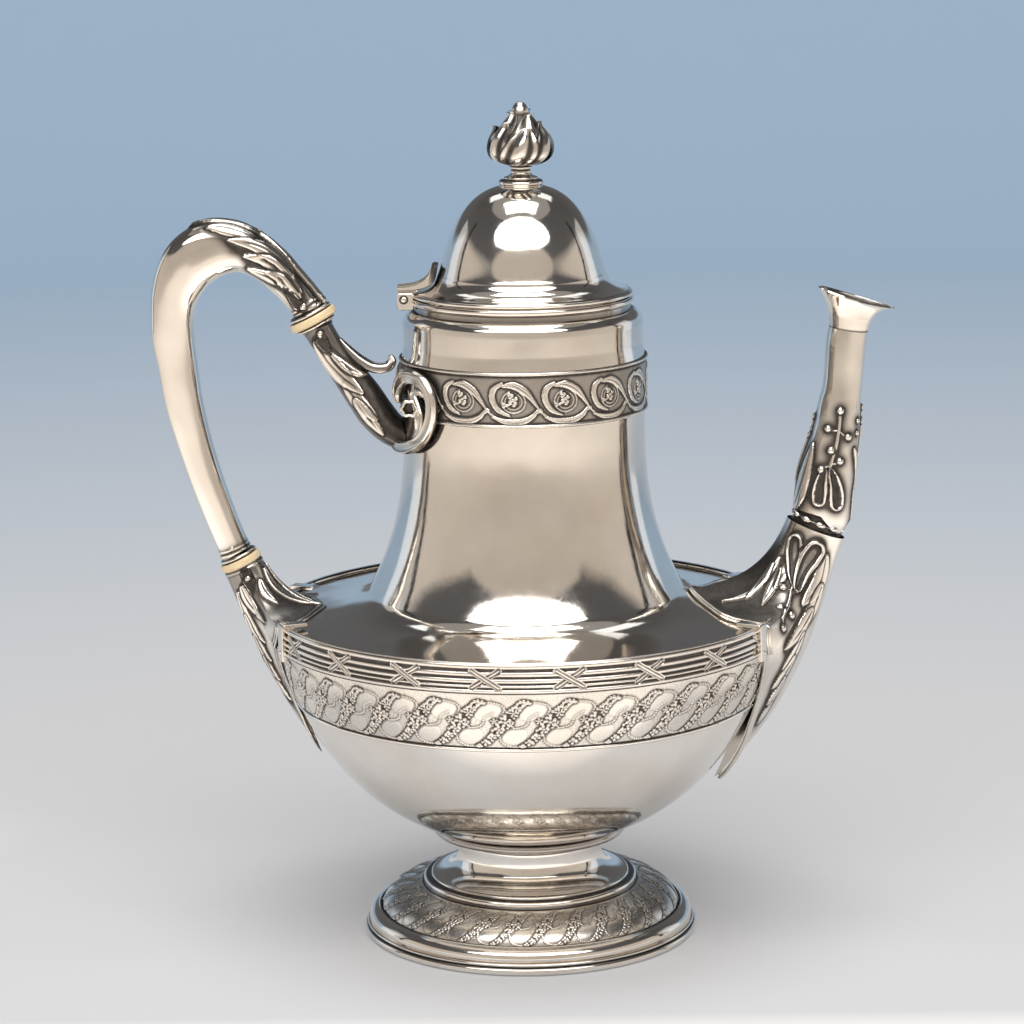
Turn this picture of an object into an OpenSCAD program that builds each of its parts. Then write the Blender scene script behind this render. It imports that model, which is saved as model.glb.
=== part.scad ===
// Silver coffee pot: a footed bowl with a bell neck, a hinged domed lid with a
// bud finial, a tall two-part spout and a loop handle between two ivory discs.
// Millimetres. Z is up and Z = 0 is the table. +X points to the spout and -X
// to the handle. The pot's axis of revolution is the Z axis.

/* [Shells] */
// Thickness of the spun silver shells
wall = 1.0; // [0.8:0.1:1.2]
// Thickness of the cast spout walls
spout_wall = 1.2; // [1:0.1:1.4]
// Thickness of the hollow handle's wall
grip_wall = 1.2; // [1:0.1:1.4]

/* [Foot] */
// Largest radius of the foot
foot_r = 53.8; // [52.8:0.2:55]
// Radius of the waist of the stem above the foot
waist_r = 23.0; // [21:0.5:24]

/* [Bands] */
// How far the two chased bands stand above the metal below them
band_rise = 0.5; // [0.3:0.1:0.7]
// Radius of the half-round beads that edge the chased bands
edge_bead_r = 0.55; // [0.4:0.05:0.6]

/* [Strainer] */
// Radius of the strainer holes pierced through the bowl behind the spout
strainer_hole_r = 1.2; // [0.8:0.1:1.4]
// Distance between neighbouring strainer holes
strainer_pitch = 4.6; // [4:0.2:5]

/* [Lid] */
// Gap between the closed lid and the rim it rests over
lid_gap = 0.3; // [0.25:0.05:0.4]
// Radius of the hinge pin
hinge_pin_r = 0.95; // [0.8:0.05:1]
// Radial clearance of the lid's knuckle on the hinge pin
hinge_clearance = 0.05; // [0.03:0.01:0.08]

/* [Insulators] */
// Thickness of each ivory disc
disc_t = 2.8; // [2.4:0.1:3.2]
// Radius of the pins that hold the ivory discs
cross_pin_r = 0.8; // [0.6:0.1:0.9]

/* [Hidden] */

SILVER = [0.80, 0.78, 0.74];
CHASED = [0.66, 0.63, 0.58];
IVORY = [0.90, 0.84, 0.70];
ROUND = 120;      // facets of a revolved piece
SMALL = 48;       // facets of a small round piece

// ---- points and curves -------------------------------------------------

function unit(v) = v / norm(v);
function flip(v) = [for (i = [len(v) - 1:-1:0]) v[i]];
function rest(v) = [for (i = [1:1:len(v) - 1]) v[i]];
function off_axis(p) = [max(p.x, 0), p.y];
function mix(a, b, t) = a + (b - a) * t;

function bezier(a, b, c, d, t) =
    pow(1 - t, 3) * a + 3 * pow(1 - t, 2) * t * b
    + 3 * (1 - t) * t * t * c + pow(t, 3) * d;
function bezier_line(a, b, c, d, n) = [for (i = [0:n]) bezier(a, b, c, d, i / n)];
function arc(c, r, from, to, n) =
    [for (i = [0:n]) c + r * [cos(mix(from, to, i / n)), sin(mix(from, to, i / n))]];

// Catmull-Rom curve through a list of stations, k steps between neighbours
function through(a, b, c, d, t) =
    0.5 * (2 * b + (c - a) * t + (2 * a - 5 * b + 4 * c - d) * t * t
           + (3 * b - a - 3 * c + d) * t * t * t);
function smooth(s, k) = let (last = len(s) - 1) concat(
    [for (i = [0:last - 1]) for (j = [0:k - 1])
        through(s[max(i - 1, 0)], s[i], s[i + 1], s[min(i + 2, last)], j / k)],
    [s[last]]);

// Line moved w to its left, and the closed outline between the two
function left_of(p, i) =
    let (d = unit(p[min(i + 1, len(p) - 1)] - p[max(i - 1, 0)])) [-d.y, d.x];
function beside(p, w) = [for (i = [0:len(p) - 1]) off_axis(p[i] + w * left_of(p, i))];
function shell(p, w) = concat(p, flip(beside(p, w)));

module spun(outline) {
    rotate_extrude($fn = ROUND) polygon(outline);
}

// ---- swept and lofted solids -------------------------------------------

// Faces of the skin over rings of n points, and of both closed ends
function skin_faces(rings, n, first = 0) = [
    for (i = [0:rings - 2]) for (j = [0:n - 1])
        let (k = (j + 1) % n, a = first + i * n, b = a + n)
        each [[a + j, a + k, b + k], [a + j, b + k, b + j]]];
function flipped(faces) = [for (f = faces) flip(f)];
function end_ring_faces(a, b, n) = [
    for (j = [0:n - 1]) let (k = (j + 1) % n)
        each [[a + j, b + j, b + k], [a + j, b + k, a + k]]];

module solid_skin(rings) {
    n = len(rings[0]);
    m = len(rings);
    polyhedron(
        points = [for (r = rings) each r],
        faces = concat(
            skin_faces(m, n),
            [[for (j = [n - 1:-1:0]) j]],
            [[for (j = [0:n - 1]) (m - 1) * n + j]]),
        convexity = 8);
}

module hollow_skin(outer, inner) {
    n = len(outer[0]);
    m = len(outer);
    q = len(inner);
    first = m * n;
    polyhedron(
        points = concat([for (r = outer) each r], [for (r = inner) each r]),
        faces = concat(
            skin_faces(m, n),
            flipped(skin_faces(q, n, first)),
            end_ring_faces(0, first, n),
            flipped(end_ring_faces((m - 1) * n, first + (q - 1) * n, n))),
        convexity = 8);
}

// Stations are [x, z, half depth in the XZ plane, half width along Y].
// square_off above 1 makes the section squarer than an ellipse.
function bulge(v, e) = sign(v) * pow(abs(v), 1 / e);
function section(s, along, n, grow = 0, square_off = 1) =
    let (side = [-along.y, along.x])
    [for (j = [0:n - 1])
        let (u = 360 * j / n,
             d = (s[2] + grow) * bulge(cos(u), square_off),
             w = (s[3] + grow) * bulge(sin(u), square_off))
        [s.x + side.x * d, w, s.y + side.y * d]];
function heading(p, i) =
    let (a = p[max(i - 1, 0)], b = p[min(i + 1, len(p) - 1)])
    unit([b.x - a.x, b.y - a.y]);
function sections(p, n, grow = 0, square_off = 1) =
    [for (i = [0:len(p) - 1]) section(p[i], heading(p, i), n, grow, square_off)];

// ---- the body's outline --------------------------------------------------

bowl_foot = [28, 34.1];
bowl_rim = [79.3, 100];
BOWL_STEPS = 24;
bowl_line = bezier_line(bowl_foot, [68.5, 47.1], [79.3, 89.1], bowl_rim, BOWL_STEPS);
frieze_low = 15;     // steps of the bowl's line between which its band lies
frieze_high = 22;

seam_gap = 0.12;     // between the bowl's rim and the shell above it
shoulder_rim = [79.3, 104.8];
crease = [50.2, 112.4];
crease_dir = [cos(62), -sin(62)];
neck_r = 38.3;
neck_top_r = 37.7;
neck_top_z = 202;
neck_band_low = 170;
neck_band_high = 187.2;
shoulder_line = bezier_line([78.9, 105.25], [66, 106.4], crease + 7 * crease_dir, crease, 14);
flare_line = bezier_line(crease, crease - 10.8 * crease_dir, [neck_r, 136.5], [neck_r, 162], 14);
neck_line = concat(
    [[neck_r, neck_band_low], [neck_r, neck_band_high], [neck_top_r, 191.5]],
    arc([neck_top_r - 3.8, 198], 3.8, 0, 80, 6));
upper_line = concat([[shoulder_rim.x, bowl_rim.y + seam_gap], shoulder_rim],
    shoulder_line, rest(flare_line), neck_line);

reed_r = 81.1;       // radius over the crests of the reeded band
band_low = 97.0;     // height of its lower edge

// The line on which the spout and the lower socket stand, from the crease out
// over the shoulder, down over the reeded band and on down the bowl
seat_line = concat(
    [for (p = flip(shoulder_line)) [p.x, p.y + 0.02]],
    [[reed_r, 105.3], [reed_r, band_low]],
    [for (i = [frieze_high:-1:7]) bowl_line[i] + [band_rise + 0.05, 0]]);
seat_len = [for (i = 0, l = 0; i < len(seat_line);
    l = l + norm(seat_line[min(i + 1, len(seat_line) - 1)] - seat_line[i]), i = i + 1) l];
seat_r_table = [for (i = [0:len(seat_line) - 1]) [seat_len[i], seat_line[i].x]];
seat_z_table = [for (i = [0:len(seat_line) - 1]) [seat_len[i], seat_line[i].y]];
// Direction straight out of the surface, and how far the tail stands off it
out_table = [[0, 30], [2, 45], [4, 58], [6, 67], [9, 75], [13, 81], [20, 86], [27, 88],
    [33, 0], [40, 0], [95, -38]];
tail_table = [[0, 0], [58, 0], [70, 0.8], [95, 4.4]];
// Point at distance s down the line, w round the body from the XZ plane, and
// lift above the surface
function seat(s, w, lift = 0) =
    let (up = lookup(s, out_table), off = lift + lookup(s, tail_table),
         r = lookup(s, seat_r_table) + off * cos(up), a = w / r * 180 / PI)
    [r * cos(a), r * sin(a), lookup(s, seat_z_table) + off * sin(up)];

// ---- foot ----------------------------------------------------------------

module foot_base_ring() {
    color(SILVER) rotate_extrude($fn = ROUND) {
        translate([foot_r - 4.4, 0]) square([3.25, 3.8]);
        translate([foot_r - 1.15, 1.15]) circle(r = 1.15, $fn = SMALL);
        translate([foot_r - 1.5, 3.05]) circle(r = 0.75, $fn = SMALL);
    }
}

dome_edge = [foot_r - 5.8, 7.3];
dome_line = concat(
    [[foot_r - 1.6, 3.8]],
    arc([foot_r - 4.6, 4.6], 3.1, 0, 84, 6),
    [[dome_edge.x + 0.2, dome_edge.y]],
    bezier_line(dome_edge, [dome_edge.x - 1.2, 11.4], [42, 14.2], [34.6, 15.2], 8));

module foot_dome() {
    color(CHASED) spun(shell(dome_line, wall));
}

stem_line = concat(
    [[34.6, 15.25]],
    arc([33.2, 16.5], 1.1, -20, 90, 4),
    [[31.2, 17.9]],
    bezier_line([31, 18.3], [26, 18.8], [waist_r, 22], [waist_r, 26.5], 8),
    [[waist_r + 0.1, 28.9], [waist_r + 1.7, 29.3], [waist_r + 2, 30.3], [waist_r + 2.2, 30.8]],
    [[27, 32.2], [28.2, 32.2]]);

module foot_stem() {
    color(SILVER) spun(shell(stem_line, wall));
}

module foot_joint_bead() {
    color(SILVER) rotate_extrude($fn = ROUND) difference() {
        translate([29.9, 33.4]) circle(r = 1.3, $fn = SMALL);
        polygon(concat([[28, 40]], [for (i = [0:3]) bowl_line[i]], [[45, 40]]));
        translate([20, 30]) square([8.2, 3.2]);
    }
}

// ---- body ----------------------------------------------------------------

// Places each strainer hole: a round cluster, drilled level towards +X
module strainer_holes() {
    for (row = [-2:2]) {
        count = 4 - abs(row) % 2 + (abs(row) < 2 ? 1 : 0);
        for (i = [0:count - 1])
            translate([60, (i - (count - 1) / 2) * strainer_pitch, 88 + row * strainer_pitch * 0.87])
                rotate([0, 90, 0]) cylinder(r = strainer_hole_r, h = 30, $fn = SMALL);
    }
}

module body_bowl() {
    color(SILVER) difference() {
        spun(concat([[0, bowl_foot.y - 0.9]], [bowl_foot - [0, 0.9]],
            bowl_line, flip(beside(bowl_line, wall)), [[0, bowl_foot.y + 0.1 + wall]]));
        strainer_holes();
    }
}

module body_frieze_band() {
    strip = [for (i = [frieze_low:frieze_high]) bowl_line[i]];
    color(CHASED) difference() {
        spun(shell(strip, -band_rise));
        strainer_holes();
    }
}

// Crest radius and height of each bead and reed, bottom to top
reeds = [[0.75, 97.85], [0.5, 99.5], [0.85, 101.1], [0.9, 103.15], [1.0, 105.5]];

module reeded_band() {
    color(SILVER) rotate_extrude($fn = ROUND) {
        translate([bowl_rim.x, band_low]) square([1.0, 8.2]);
        for (reed = reeds)
            translate([reed_r - reed[0], reed[1]]) circle(r = reed[0], $fn = SMALL);
    }
}

module body_shoulder_neck() {
    color(SILVER) spun(shell(upper_line, wall));
}

module neck_frieze_band() {
    color(CHASED) rotate_extrude($fn = ROUND) {
        translate([neck_r, neck_band_low])
            square([band_rise, neck_band_high - neck_band_low]);
        for (z = [neck_band_low + edge_bead_r, neck_band_high - edge_bead_r])
            translate([neck_r + edge_bead_r + 0.01, z]) circle(r = edge_bead_r, $fn = SMALL);
    }
}

rim_r = 35.2;
rim_top = 205.8;
rim_inner_r = 32.9;

module neck_rim_ring() {
    color(SILVER) difference() {
        rotate_extrude($fn = ROUND) {
            translate([rim_inner_r, 201.75]) square([34.0 - rim_inner_r, rim_top - 201.75]);
            translate([33.5, 203.7]) square([rim_r - 1.05 - 33.5, rim_top - 203.7]);
            translate([rim_r - 1.05, rim_top - 1.05]) circle(r = 1.05, $fn = SMALL);
        }
        along_hinge(hinge_r + 0.35, 2 * (lid_knuckle_half + 0.3));
    }
}

// ---- hinge -----------------------------------------------------------------

hinge_x = -37.1;
hinge_z = 205.7;
hinge_r = 1.95;
lid_knuckle_half = 2.1;
hinge_half = 6.4;

module along_hinge(r, length) {
    translate([hinge_x, 0, hinge_z]) rotate([90, 0, 0])
        cylinder(r = r, h = length, center = true, $fn = SMALL);
}

module hinge_bracket() {
    color(SILVER) for (side = [-1, 1])
        difference() {
            union() {
                translate([hinge_x, side * (hinge_half + lid_knuckle_half + 0.3) / 2, hinge_z])
                    rotate([90, 0, 0]) cylinder(r = hinge_r,
                        h = hinge_half - lid_knuckle_half - 0.3, center = true, $fn = SMALL);
                translate([hinge_x - hinge_r,
                           side > 0 ? lid_knuckle_half + 0.3 : -hinge_half, 202.5])
                    cube([5, hinge_half - lid_knuckle_half - 0.3, hinge_z - 202.5]);
            }
            along_hinge(hinge_pin_r, 2 * hinge_half + 2);
            translate([0, 0, 200]) cylinder(r = rim_r - 0.5, h = 6, $fn = ROUND);
            translate([0, 0, 206]) cylinder(r = rim_r, h = 5, $fn = ROUND);
        }
}

module hinge_pin() {
    color(SILVER) along_hinge(hinge_pin_r, 2 * hinge_half + 0.8);
}

module lid_hinge_knuckle() {
    color(SILVER) difference() {
        union() {
            along_hinge(hinge_r, 2 * lid_knuckle_half);
            translate([hinge_x - 1.9, -lid_knuckle_half, hinge_z])
                cube([3.7, 2 * lid_knuckle_half, 2.6]);
            translate([hinge_x - 1.9, -lid_knuckle_half, hinge_z + 2.05])
                cube([6, 2 * lid_knuckle_half, 0.55]);
        }
        along_hinge(hinge_pin_r + hinge_clearance, 10);
    }
}

thumb_half = 5;
thumb_line = concat(
    bezier_line([-39.2, 209.1], [-33, 209.2], [-29.2, 210.4], [-28.1, 215.6], 8),
    [[-27.3, 216.0], [-26.3, 215.8]],
    bezier_line([-26.95, 212.6], [-27.75, 209.7], [-30.0, 208.6], [-34.4, 208.3], 6),
    [[-39.2, 208.3]]);

module lid_thumb_leaf() {
    color(SILVER) rotate([90, 0, 0])
        linear_extrude(height = 2 * thumb_half, center = true) polygon(thumb_line);
}

// ---- lid -------------------------------------------------------------------

flange_r = 34.9;
flange_z = rim_top + lid_gap;
lid_top_z = 241;
screw_r = 1.5;
lid_line = concat(
    [[rim_inner_r - 0.5, flange_z]],
    arc([flange_r - 0.65, flange_z + 0.65], 0.65, -90, 90, 6),
    bezier_line([33.4, flange_z + 1.6], [29.8, 208.1], [27.4, 209.4], [26.6, 212.5], 7),
    rest(bezier_line([26.6, 212.5], [23.6, 219.5], [21.5, lid_top_z], [screw_r, lid_top_z], 16)));
lid_under = concat(
    beside([for (i = [10:len(lid_line) - 2]) lid_line[i]], wall),
    [[screw_r, lid_top_z - wall]]);

module lid_dome() {
    color(SILVER) spun(concat(lid_line, flip(lid_under),
        [[rim_inner_r - 0.5 - wall, flange_z + 1.0], [rim_inner_r - 0.5 - wall, flange_z]]));
}

module lid_bezel() {
    color(SILVER) rotate_extrude($fn = ROUND)
        translate([rim_inner_r - 0.5 - wall, flange_z - 3.6]) square([wall, 3.6]);
}

module finial_collar() {
    color(SILVER) difference() {
        spun(concat([[0, lid_top_z], [6.3, lid_top_z]],
            arc([6.2, lid_top_z + 0.8], 0.8, -60, 90, 6),
            [[5.6, 242.3], [5.4, 242.9], [4.1, 243.7], [3.2, 244.6], [0, 244.6]]));
        translate([0, 0, 230]) cylinder(r = screw_r, h = 20, $fn = SMALL);
    }
}

module finial_stem() {
    color(SILVER) difference() {
        spun(concat([[0, 244.6], [3.1, 244.6], [3.0, 245.6]],
            arc([3.0, 246.1], 0.5, -90, 90, 4), [[3.0, 246.9], [0, 246.9]]));
        translate([0, 0, 230]) cylinder(r = screw_r, h = 20, $fn = SMALL);
    }
}

finial_top = 266.5;

module finial_bud() {
    color(SILVER) difference() {
        spun(concat([[0, 246.9]],
            bezier_line([3.4, 246.9], [10.0, 247.1], [12.2, 254.6], [8.0, 258.2], 10),
            rest(bezier_line([8.0, 258.2], [4.8, 260.9], [3.4, 263.0], [2.9, 264.0], 5)),
            rest(bezier_line([2.9, 264.0], [2.2, 265.6], [1.0, finial_top], [0, finial_top], 5))));
        translate([0, 0, 246]) cylinder(r = screw_r, h = 5, $fn = SMALL);
    }
}

module finial_screw() {
    color(SILVER) translate([0, 0, 235]) cylinder(r = screw_r - 0.02, h = 15.9, $fn = SMALL);
}

module finial_nut() {
    color(SILVER) translate([0, 0, lid_top_z - wall - 2.7]) difference() {
        cylinder(r = 3.6, h = 2.6, $fn = 6);
        translate([0, 0, -1]) cylinder(r = screw_r, h = 5, $fn = SMALL);
    }
}

// ---- a horn that spreads from a round top on to the body ------------------

HORN_STEPS = 12;

// tip to tail: [distance down the seat line, half width round the body]
spout_seat = [[2.2, 0], [4.5, 4.5], [8, 9.5], [12, 15.5], [17, 23], [23, 29], [30, 33],
    [37, 34], [44, 30.5], [54, 26], [64, 21.5], [76, 14], [88, 6], [95, 0]];
socket_seat = [[15.5, 0], [16.5, 4], [18.5, 9], [21, 14.5], [25, 20], [30, 24.5], [36, 23],
    [42, 16.5], [48, 11.5], [55, 8.5], [62, 6], [70, 4], [78, 2.5], [83, 0]];

// The whole closed outline of a seat, from the tip round to the tip again
function seat_outline(stations, inset) =
    let (half = smooth(stations, 2), n = len(half) - 1, widest = max([for (p = half) p.y]),
         narrow = 1 - 1.6 * inset / widest,
         low = half[0].x + 2 * inset, high = half[n].x - 8 * inset)
    [for (j = [0:2 * n - 1])
        let (k = j <= n ? n - j : j - n, p = half[k],
             s = mix(low, high, (p.x - half[0].x) / (half[n].x - half[0].x)))
        [s, (j <= n ? 1 : -1) * p.y * narrow]];

// side is 1 on the spout's side and -1 on the handle's side
function horn_rings(stations, top, tilt, rx, ry, reach, pull, swell, side, inset) =
    let (outline = seat_outline(stations, inset), n = len(outline))
    [for (i = [0:HORN_STEPS]) [for (j = [0:n - 1])
        let (u = 360 * j / n,
             lip = [top.x, 0, top.z] + (rx - inset) * cos(u) * [cos(tilt), 0, sin(tilt)]
                 + (ry - inset) * sin(u) * [0, 1, 0],
             down = [sin(tilt), 0, -cos(tilt)],
             foot = seat(outline[j].x, outline[j].y),
             out = swell[0] + swell[1] * max(cos(u), 0) + swell[2] * max(-cos(u), 0),
             up = max(-cos(u), 0),
             near = foot + pull * ([top.x - 4, 0, 106] - foot)
                 + (out - inset) * [1 - up, 0, up],
             far = lip + reach * down,
             p = bezier(lip, far, near, foot, i / HORN_STEPS))
        [side * p.x, p.y, p.z]]];

spout_top = [92.4, 0, 130.3];
spout_tilt = -21;
SPOUT_SWELL = [3, 12.5, 0.8];

function spout_base_rings(inset) =
    horn_rings(spout_seat, spout_top, spout_tilt, 9.7, 9.0, 17, 0.42, SPOUT_SWELL, 1, inset);

module spout_base() {
    color(CHASED) hollow_skin(spout_base_rings(0), spout_base_rings(spout_wall));
}

// ---- spout ---------------------------------------------------------------

// Stands its children upright on the spout's tilted axis
module tilted(at, tilt) {
    translate(at) rotate([0, -tilt, 0]) children();
}

module spout_collar() {
    color(CHASED) tilted(spout_top, spout_tilt) difference() {
        union() {
            cylinder(r = 8.2, h = 4.4, $fn = ROUND);
            for (z = [0.7, 3.7])
                translate([0, 0, z]) rotate_extrude($fn = ROUND)
                    translate([8.6, 0]) circle(r = 0.7, $fn = SMALL);
        }
        translate([0, 0, -1]) cylinder(r = 7.0, h = 8, $fn = ROUND);
    }
}

COLLAR_H = 4.4;
up_tilt = [-sin(spout_tilt), cos(spout_tilt)];
tube_start = [spout_top.x, spout_top.z] + COLLAR_H * up_tilt;
tube_stations = concat(
    [[tube_start.x, tube_start.y, 8.9, 8.6],
     [tube_start.x + 1.5 * up_tilt.x, tube_start.y + 1.5 * up_tilt.y, 8.9, 8.7]],
    rest(smooth([[94.7, 138.5, 8.9, 8.8], [95.2, 144, 9.0, 9.2], [96.1, 150, 8.8, 9.0],
        [98.4, 160, 7.6, 8.0], [99.7, 169.6, 6.8, 7.1], [100.7, 176, 6.2, 6.6],
        [101.7, 188.8, 6.3, 6.3], [102.4, 193.8, 6.2, 6.2]], 2)));

module spout_tube() {
    color(CHASED) hollow_skin(
        sections(tube_stations, 32),
        sections(tube_stations, 32, -spout_wall));
}

// The flared lip: stations [x, z, half depth, half width], turning with the mouth
lip_stations = [[102.45, 193.9, 6.2, 6.2], [102.75, 195.6, 6.5, 6.4], [103.1, 198.2, 7.1, 6.7],
    [103.6, 200.8, 8.6, 7.1], [104.2, 202.8, 10.8, 7.5], [104.9, 203.6, 12.6, 7.8]];
lip_tilts = [-8, -8, -9, -12, -15.5, -16.7];

function lip_rings(grow) = [for (i = [0:len(lip_stations) - 1])
    section(lip_stations[i], [-sin(lip_tilts[i]), cos(lip_tilts[i])], 40, grow)];

module spout_lip() {
    color(SILVER) hollow_skin(lip_rings(0), lip_rings(-spout_wall));
}

// ---- edge mouldings and straps of the two seats ----------------------------

module seat_cord(stations, side, from, to, r, lift) {
    half = smooth(stations, 3);
    path = concat(
        [for (i = [to:-1:from + 1]) [half[i].x, -half[i].y - r]],
        [for (i = [from:to]) [half[i].x - (i == from ? r : 0), half[i].y + (i == from ? 0 : r)]]);
    solid_skin([for (i = [0:len(path) - 1])
        let (a = seat(path[max(i - 1, 0)].x, path[max(i - 1, 0)].y, lift),
             b = seat(path[min(i + 1, len(path) - 1)].x, path[min(i + 1, len(path) - 1)].y, lift),
             c = seat(path[i].x, path[i].y, lift),
             t = unit(b - a), u = unit(cross(t, [0.3, 0, 1])), v = cross(t, u))
        [for (j = [0:9]) let (q = c + r * cos(36 * j) * u + r * sin(36 * j) * v)
            side > 0 ? q : [-q.x, q.y, q.z]]]);
}

module spout_eave_moulding() {
    color(SILVER) seat_cord(spout_seat, 1, 0, 17, 0.9, 1.0);
}

strap_half = 2.4;     // half the width of a strap
strap_t = 1.1;
strap_low = 95.6;
tab_z = 106.55;       // underside of the tab on the shoulder
tab_t = 1.0;
tab_reach = 7.5;      // how far the tab reaches in from the reeded band

// A pair of flat straps bent over the reeded band, with their tabs folded inwards
module straps(angle) {
    sweep = strap_half / reed_r * 180 / PI;
    for (side = [-1, 1])
        rotate([0, 0, side * angle - sweep]) rotate_extrude(angle = 2 * sweep, $fn = ROUND) {
            translate([reed_r + 0.05, strap_low]) square([strap_t, tab_z - strap_low]);
            translate([reed_r - tab_reach, tab_z]) square([tab_reach + 0.05 + strap_t, tab_t]);
        }
}

// Angles of the straps from the plane of the spout and the handle
spout_strap_at = 26.9;
handle_strap_at = 20.5;

module spout_straps() {
    color(SILVER) straps(spout_strap_at);
}

// ---- handle ----------------------------------------------------------------

// centre of each ivory disc and the direction of its axis, up into the grip
upper_disc = [-66.0, 199.3];
upper_dir = unit([-0.45, 0.893]);
lower_disc = [-90.9, 121.8];
lower_dir = unit([-0.424, 0.906]);
disc_r = 7.8;
lower_disc_r = 6.7;
ferrule_t = 1.4;
spigot_r = 2.9;
spigot_len = 8;
cross_pin_at = disc_t / 2 + ferrule_t + 2.6;   // from a disc's middle to each pin

module on_axis(c, d, from = 0) {
    translate([c.x + from * d.x, 0, c.y + from * d.y])
        rotate([0, 90 - atan2(d.y, d.x), 0]) children();
}

module ferrule(c, d, from, r) {
    on_axis(c, d, from) difference() {
        union() {
            translate([0, 0, ferrule_t / 2 - 0.5]) cylinder(r = r, h = 1, $fn = SMALL);
            cylinder(r = r - 0.8, h = ferrule_t, $fn = SMALL);
        }
        translate([0, 0, -1]) cylinder(r = spigot_r, h = 5, $fn = SMALL);
    }
}

module insulator(c, d, r) {
    on_axis(c, d, 0) difference() {
        union() {
            rotate_extrude($fn = ROUND) {
                translate([0, -disc_t / 2]) square([r - disc_t / 2, disc_t]);
                translate([r - disc_t / 2, 0]) circle(r = disc_t / 2, $fn = SMALL);
            }
            translate([0, 0, -spigot_len]) cylinder(r = spigot_r, h = 2 * spigot_len, $fn = SMALL);
        }
        for (z = [-1, 1])
            translate([0, 0, z * cross_pin_at]) rotate([90, 0, 0])
                cylinder(r = cross_pin_r, h = 20, center = true, $fn = SMALL);
    }
}

module cross_pins(c, d, reach) {
    for (i = [0, 1])
        on_axis(c, d, 0)
            translate([0, 0, (2 * i - 1) * cross_pin_at]) rotate([90, 0, 0])
                cylinder(r = cross_pin_r, h = 2 * reach[i], center = true, $fn = SMALL);
}

module upper_insulator() {
    color(IVORY) insulator(upper_disc, upper_dir, disc_r);
}

module lower_insulator() {
    color(IVORY) insulator(lower_disc, lower_dir, lower_disc_r);
}

module upper_insulator_pins() {
    color(SILVER) cross_pins(upper_disc, upper_dir, [5.0, 5.4]);
}

module lower_insulator_pins() {
    color(SILVER) cross_pins(lower_disc, lower_dir, [6.6, 5.4]);
}

module upper_grip_ferrule() {
    color(SILVER) ferrule(upper_disc, upper_dir, disc_t / 2, 7.2);
}

module upper_socket_ferrule() {
    color(SILVER) ferrule(upper_disc, upper_dir, -disc_t / 2 - ferrule_t, 6.6);
}

module lower_grip_ferrule() {
    color(SILVER) ferrule(lower_disc, lower_dir, disc_t / 2, 6.2);
}

function on_line(c, d, t) = c + t * d;
function station(p, a, b) = [p.x, p.y, a, b];
end_gap = disc_t / 2 + ferrule_t;   // from a disc's middle to the end of the metal
grip_stations = concat(
    [station(on_line(upper_disc, upper_dir, end_gap), 5.0, 5.0)],
    smooth([
        station(on_line(upper_disc, upper_dir, end_gap + 1.5), 4.9, 4.9),
        [-70.2, 206.3, 4.9, 4.8], [-74.2, 210.9, 5.1, 4.9], [-79.2, 216.1, 5.7, 5.3],
        [-84.4, 219.8, 6.4, 6.0], [-90.5, 221.9, 7.7, 6.8], [-97.7, 221.3, 8.9, 7.6],
        [-103.2, 218.2, 9.0, 7.9], [-106.8, 213.2, 8.4, 7.6], [-109.2, 207.2, 7.4, 7.1],
        [-110.1, 201.3, 6.8, 6.7], [-110.2, 194.2, 6.7, 6.4], [-109.1, 185.6, 6.3, 6.0],
        [-107.4, 173.1, 6.0, 5.7], [-104.5, 160.6, 5.5, 5.3], [-100.8, 147.9, 5.2, 5.1],
        [-96.4, 135.1, 5.0, 5.0],
        station(on_line(lower_disc, lower_dir, end_gap + 1.5), 4.9, 4.9)], 2),
    [station(on_line(lower_disc, lower_dir, end_gap), 4.9, 4.9)]);

module handle_grip() {
    color(SILVER) hollow_skin(
        sections(grip_stations, 24, 0, 1.35),
        sections(grip_stations, 24, -grip_wall, 1.35));
}

socket_stations = concat(
    [station(on_line(upper_disc, upper_dir, -end_gap), 5.2, 5.2)],
    smooth([station(on_line(upper_disc, upper_dir, -end_gap - 1.5), 4.7, 4.8),
        [-59.8, 188.1, 4.6, 5.0], [-55.0, 181.1, 5.2, 6.2], [-50.2, 174.6, 6.0, 8.0],
        [-45.6, 169.0, 6.6, 10.0]], 2));

// The last section is wrapped round the neck
saddle = [-38, 165, 9.5, 14.5];
function saddle_ring(grow) = [for (p = section(saddle, [0.5, -0.86], 24, grow, 1.2))
    [-sqrt(pow(neck_r + 1.15, 2) - p.y * p.y), p.y, p.z]];

module upper_socket() {
    color(SILVER) hollow_skin(
        concat(sections(socket_stations, 24, 0, 1.2), [saddle_ring(0)]),
        concat(sections(socket_stations, 24, -1.2, 1.2), [saddle_ring(-1.4)]));
}

// Round wire through 3-D points [x, y, z, r]
module wire(p, n) {
    m = len(p) - 1;
    solid_skin([for (i = [0:m])
        let (a = p[max(i - 1, 0)], b = p[min(i + 1, m)],
             t = unit([b[0] - a[0], b[1] - a[1], b[2] - a[2]]),
             u = unit(cross(t, abs(t.y) > 0.9 ? [1, 0, 0] : [0, 1, 0])), v = cross(t, u))
        [for (j = [0:n - 1])
            [p[i][0], p[i][1], p[i][2]]
            + p[i][3] * (cos(360 * j / n) * u + sin(360 * j / n) * v)]]);
}

module upper_socket_curl() {
    color(SILVER) wire(smooth([[-57.8, 0, 192.0, 1.2], [-54.8, 0, 188.6, 1.7], [-51.4, 0, 185.6, 2.0],
        [-47.4, 0, 183.4, 2.1], [-43.2, 0, 183.4, 2.0], [-41.4, 0, 185.6, 1.7],
        [-42.0, 0, 187.4, 1.2]], 3), 12);
}

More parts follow.
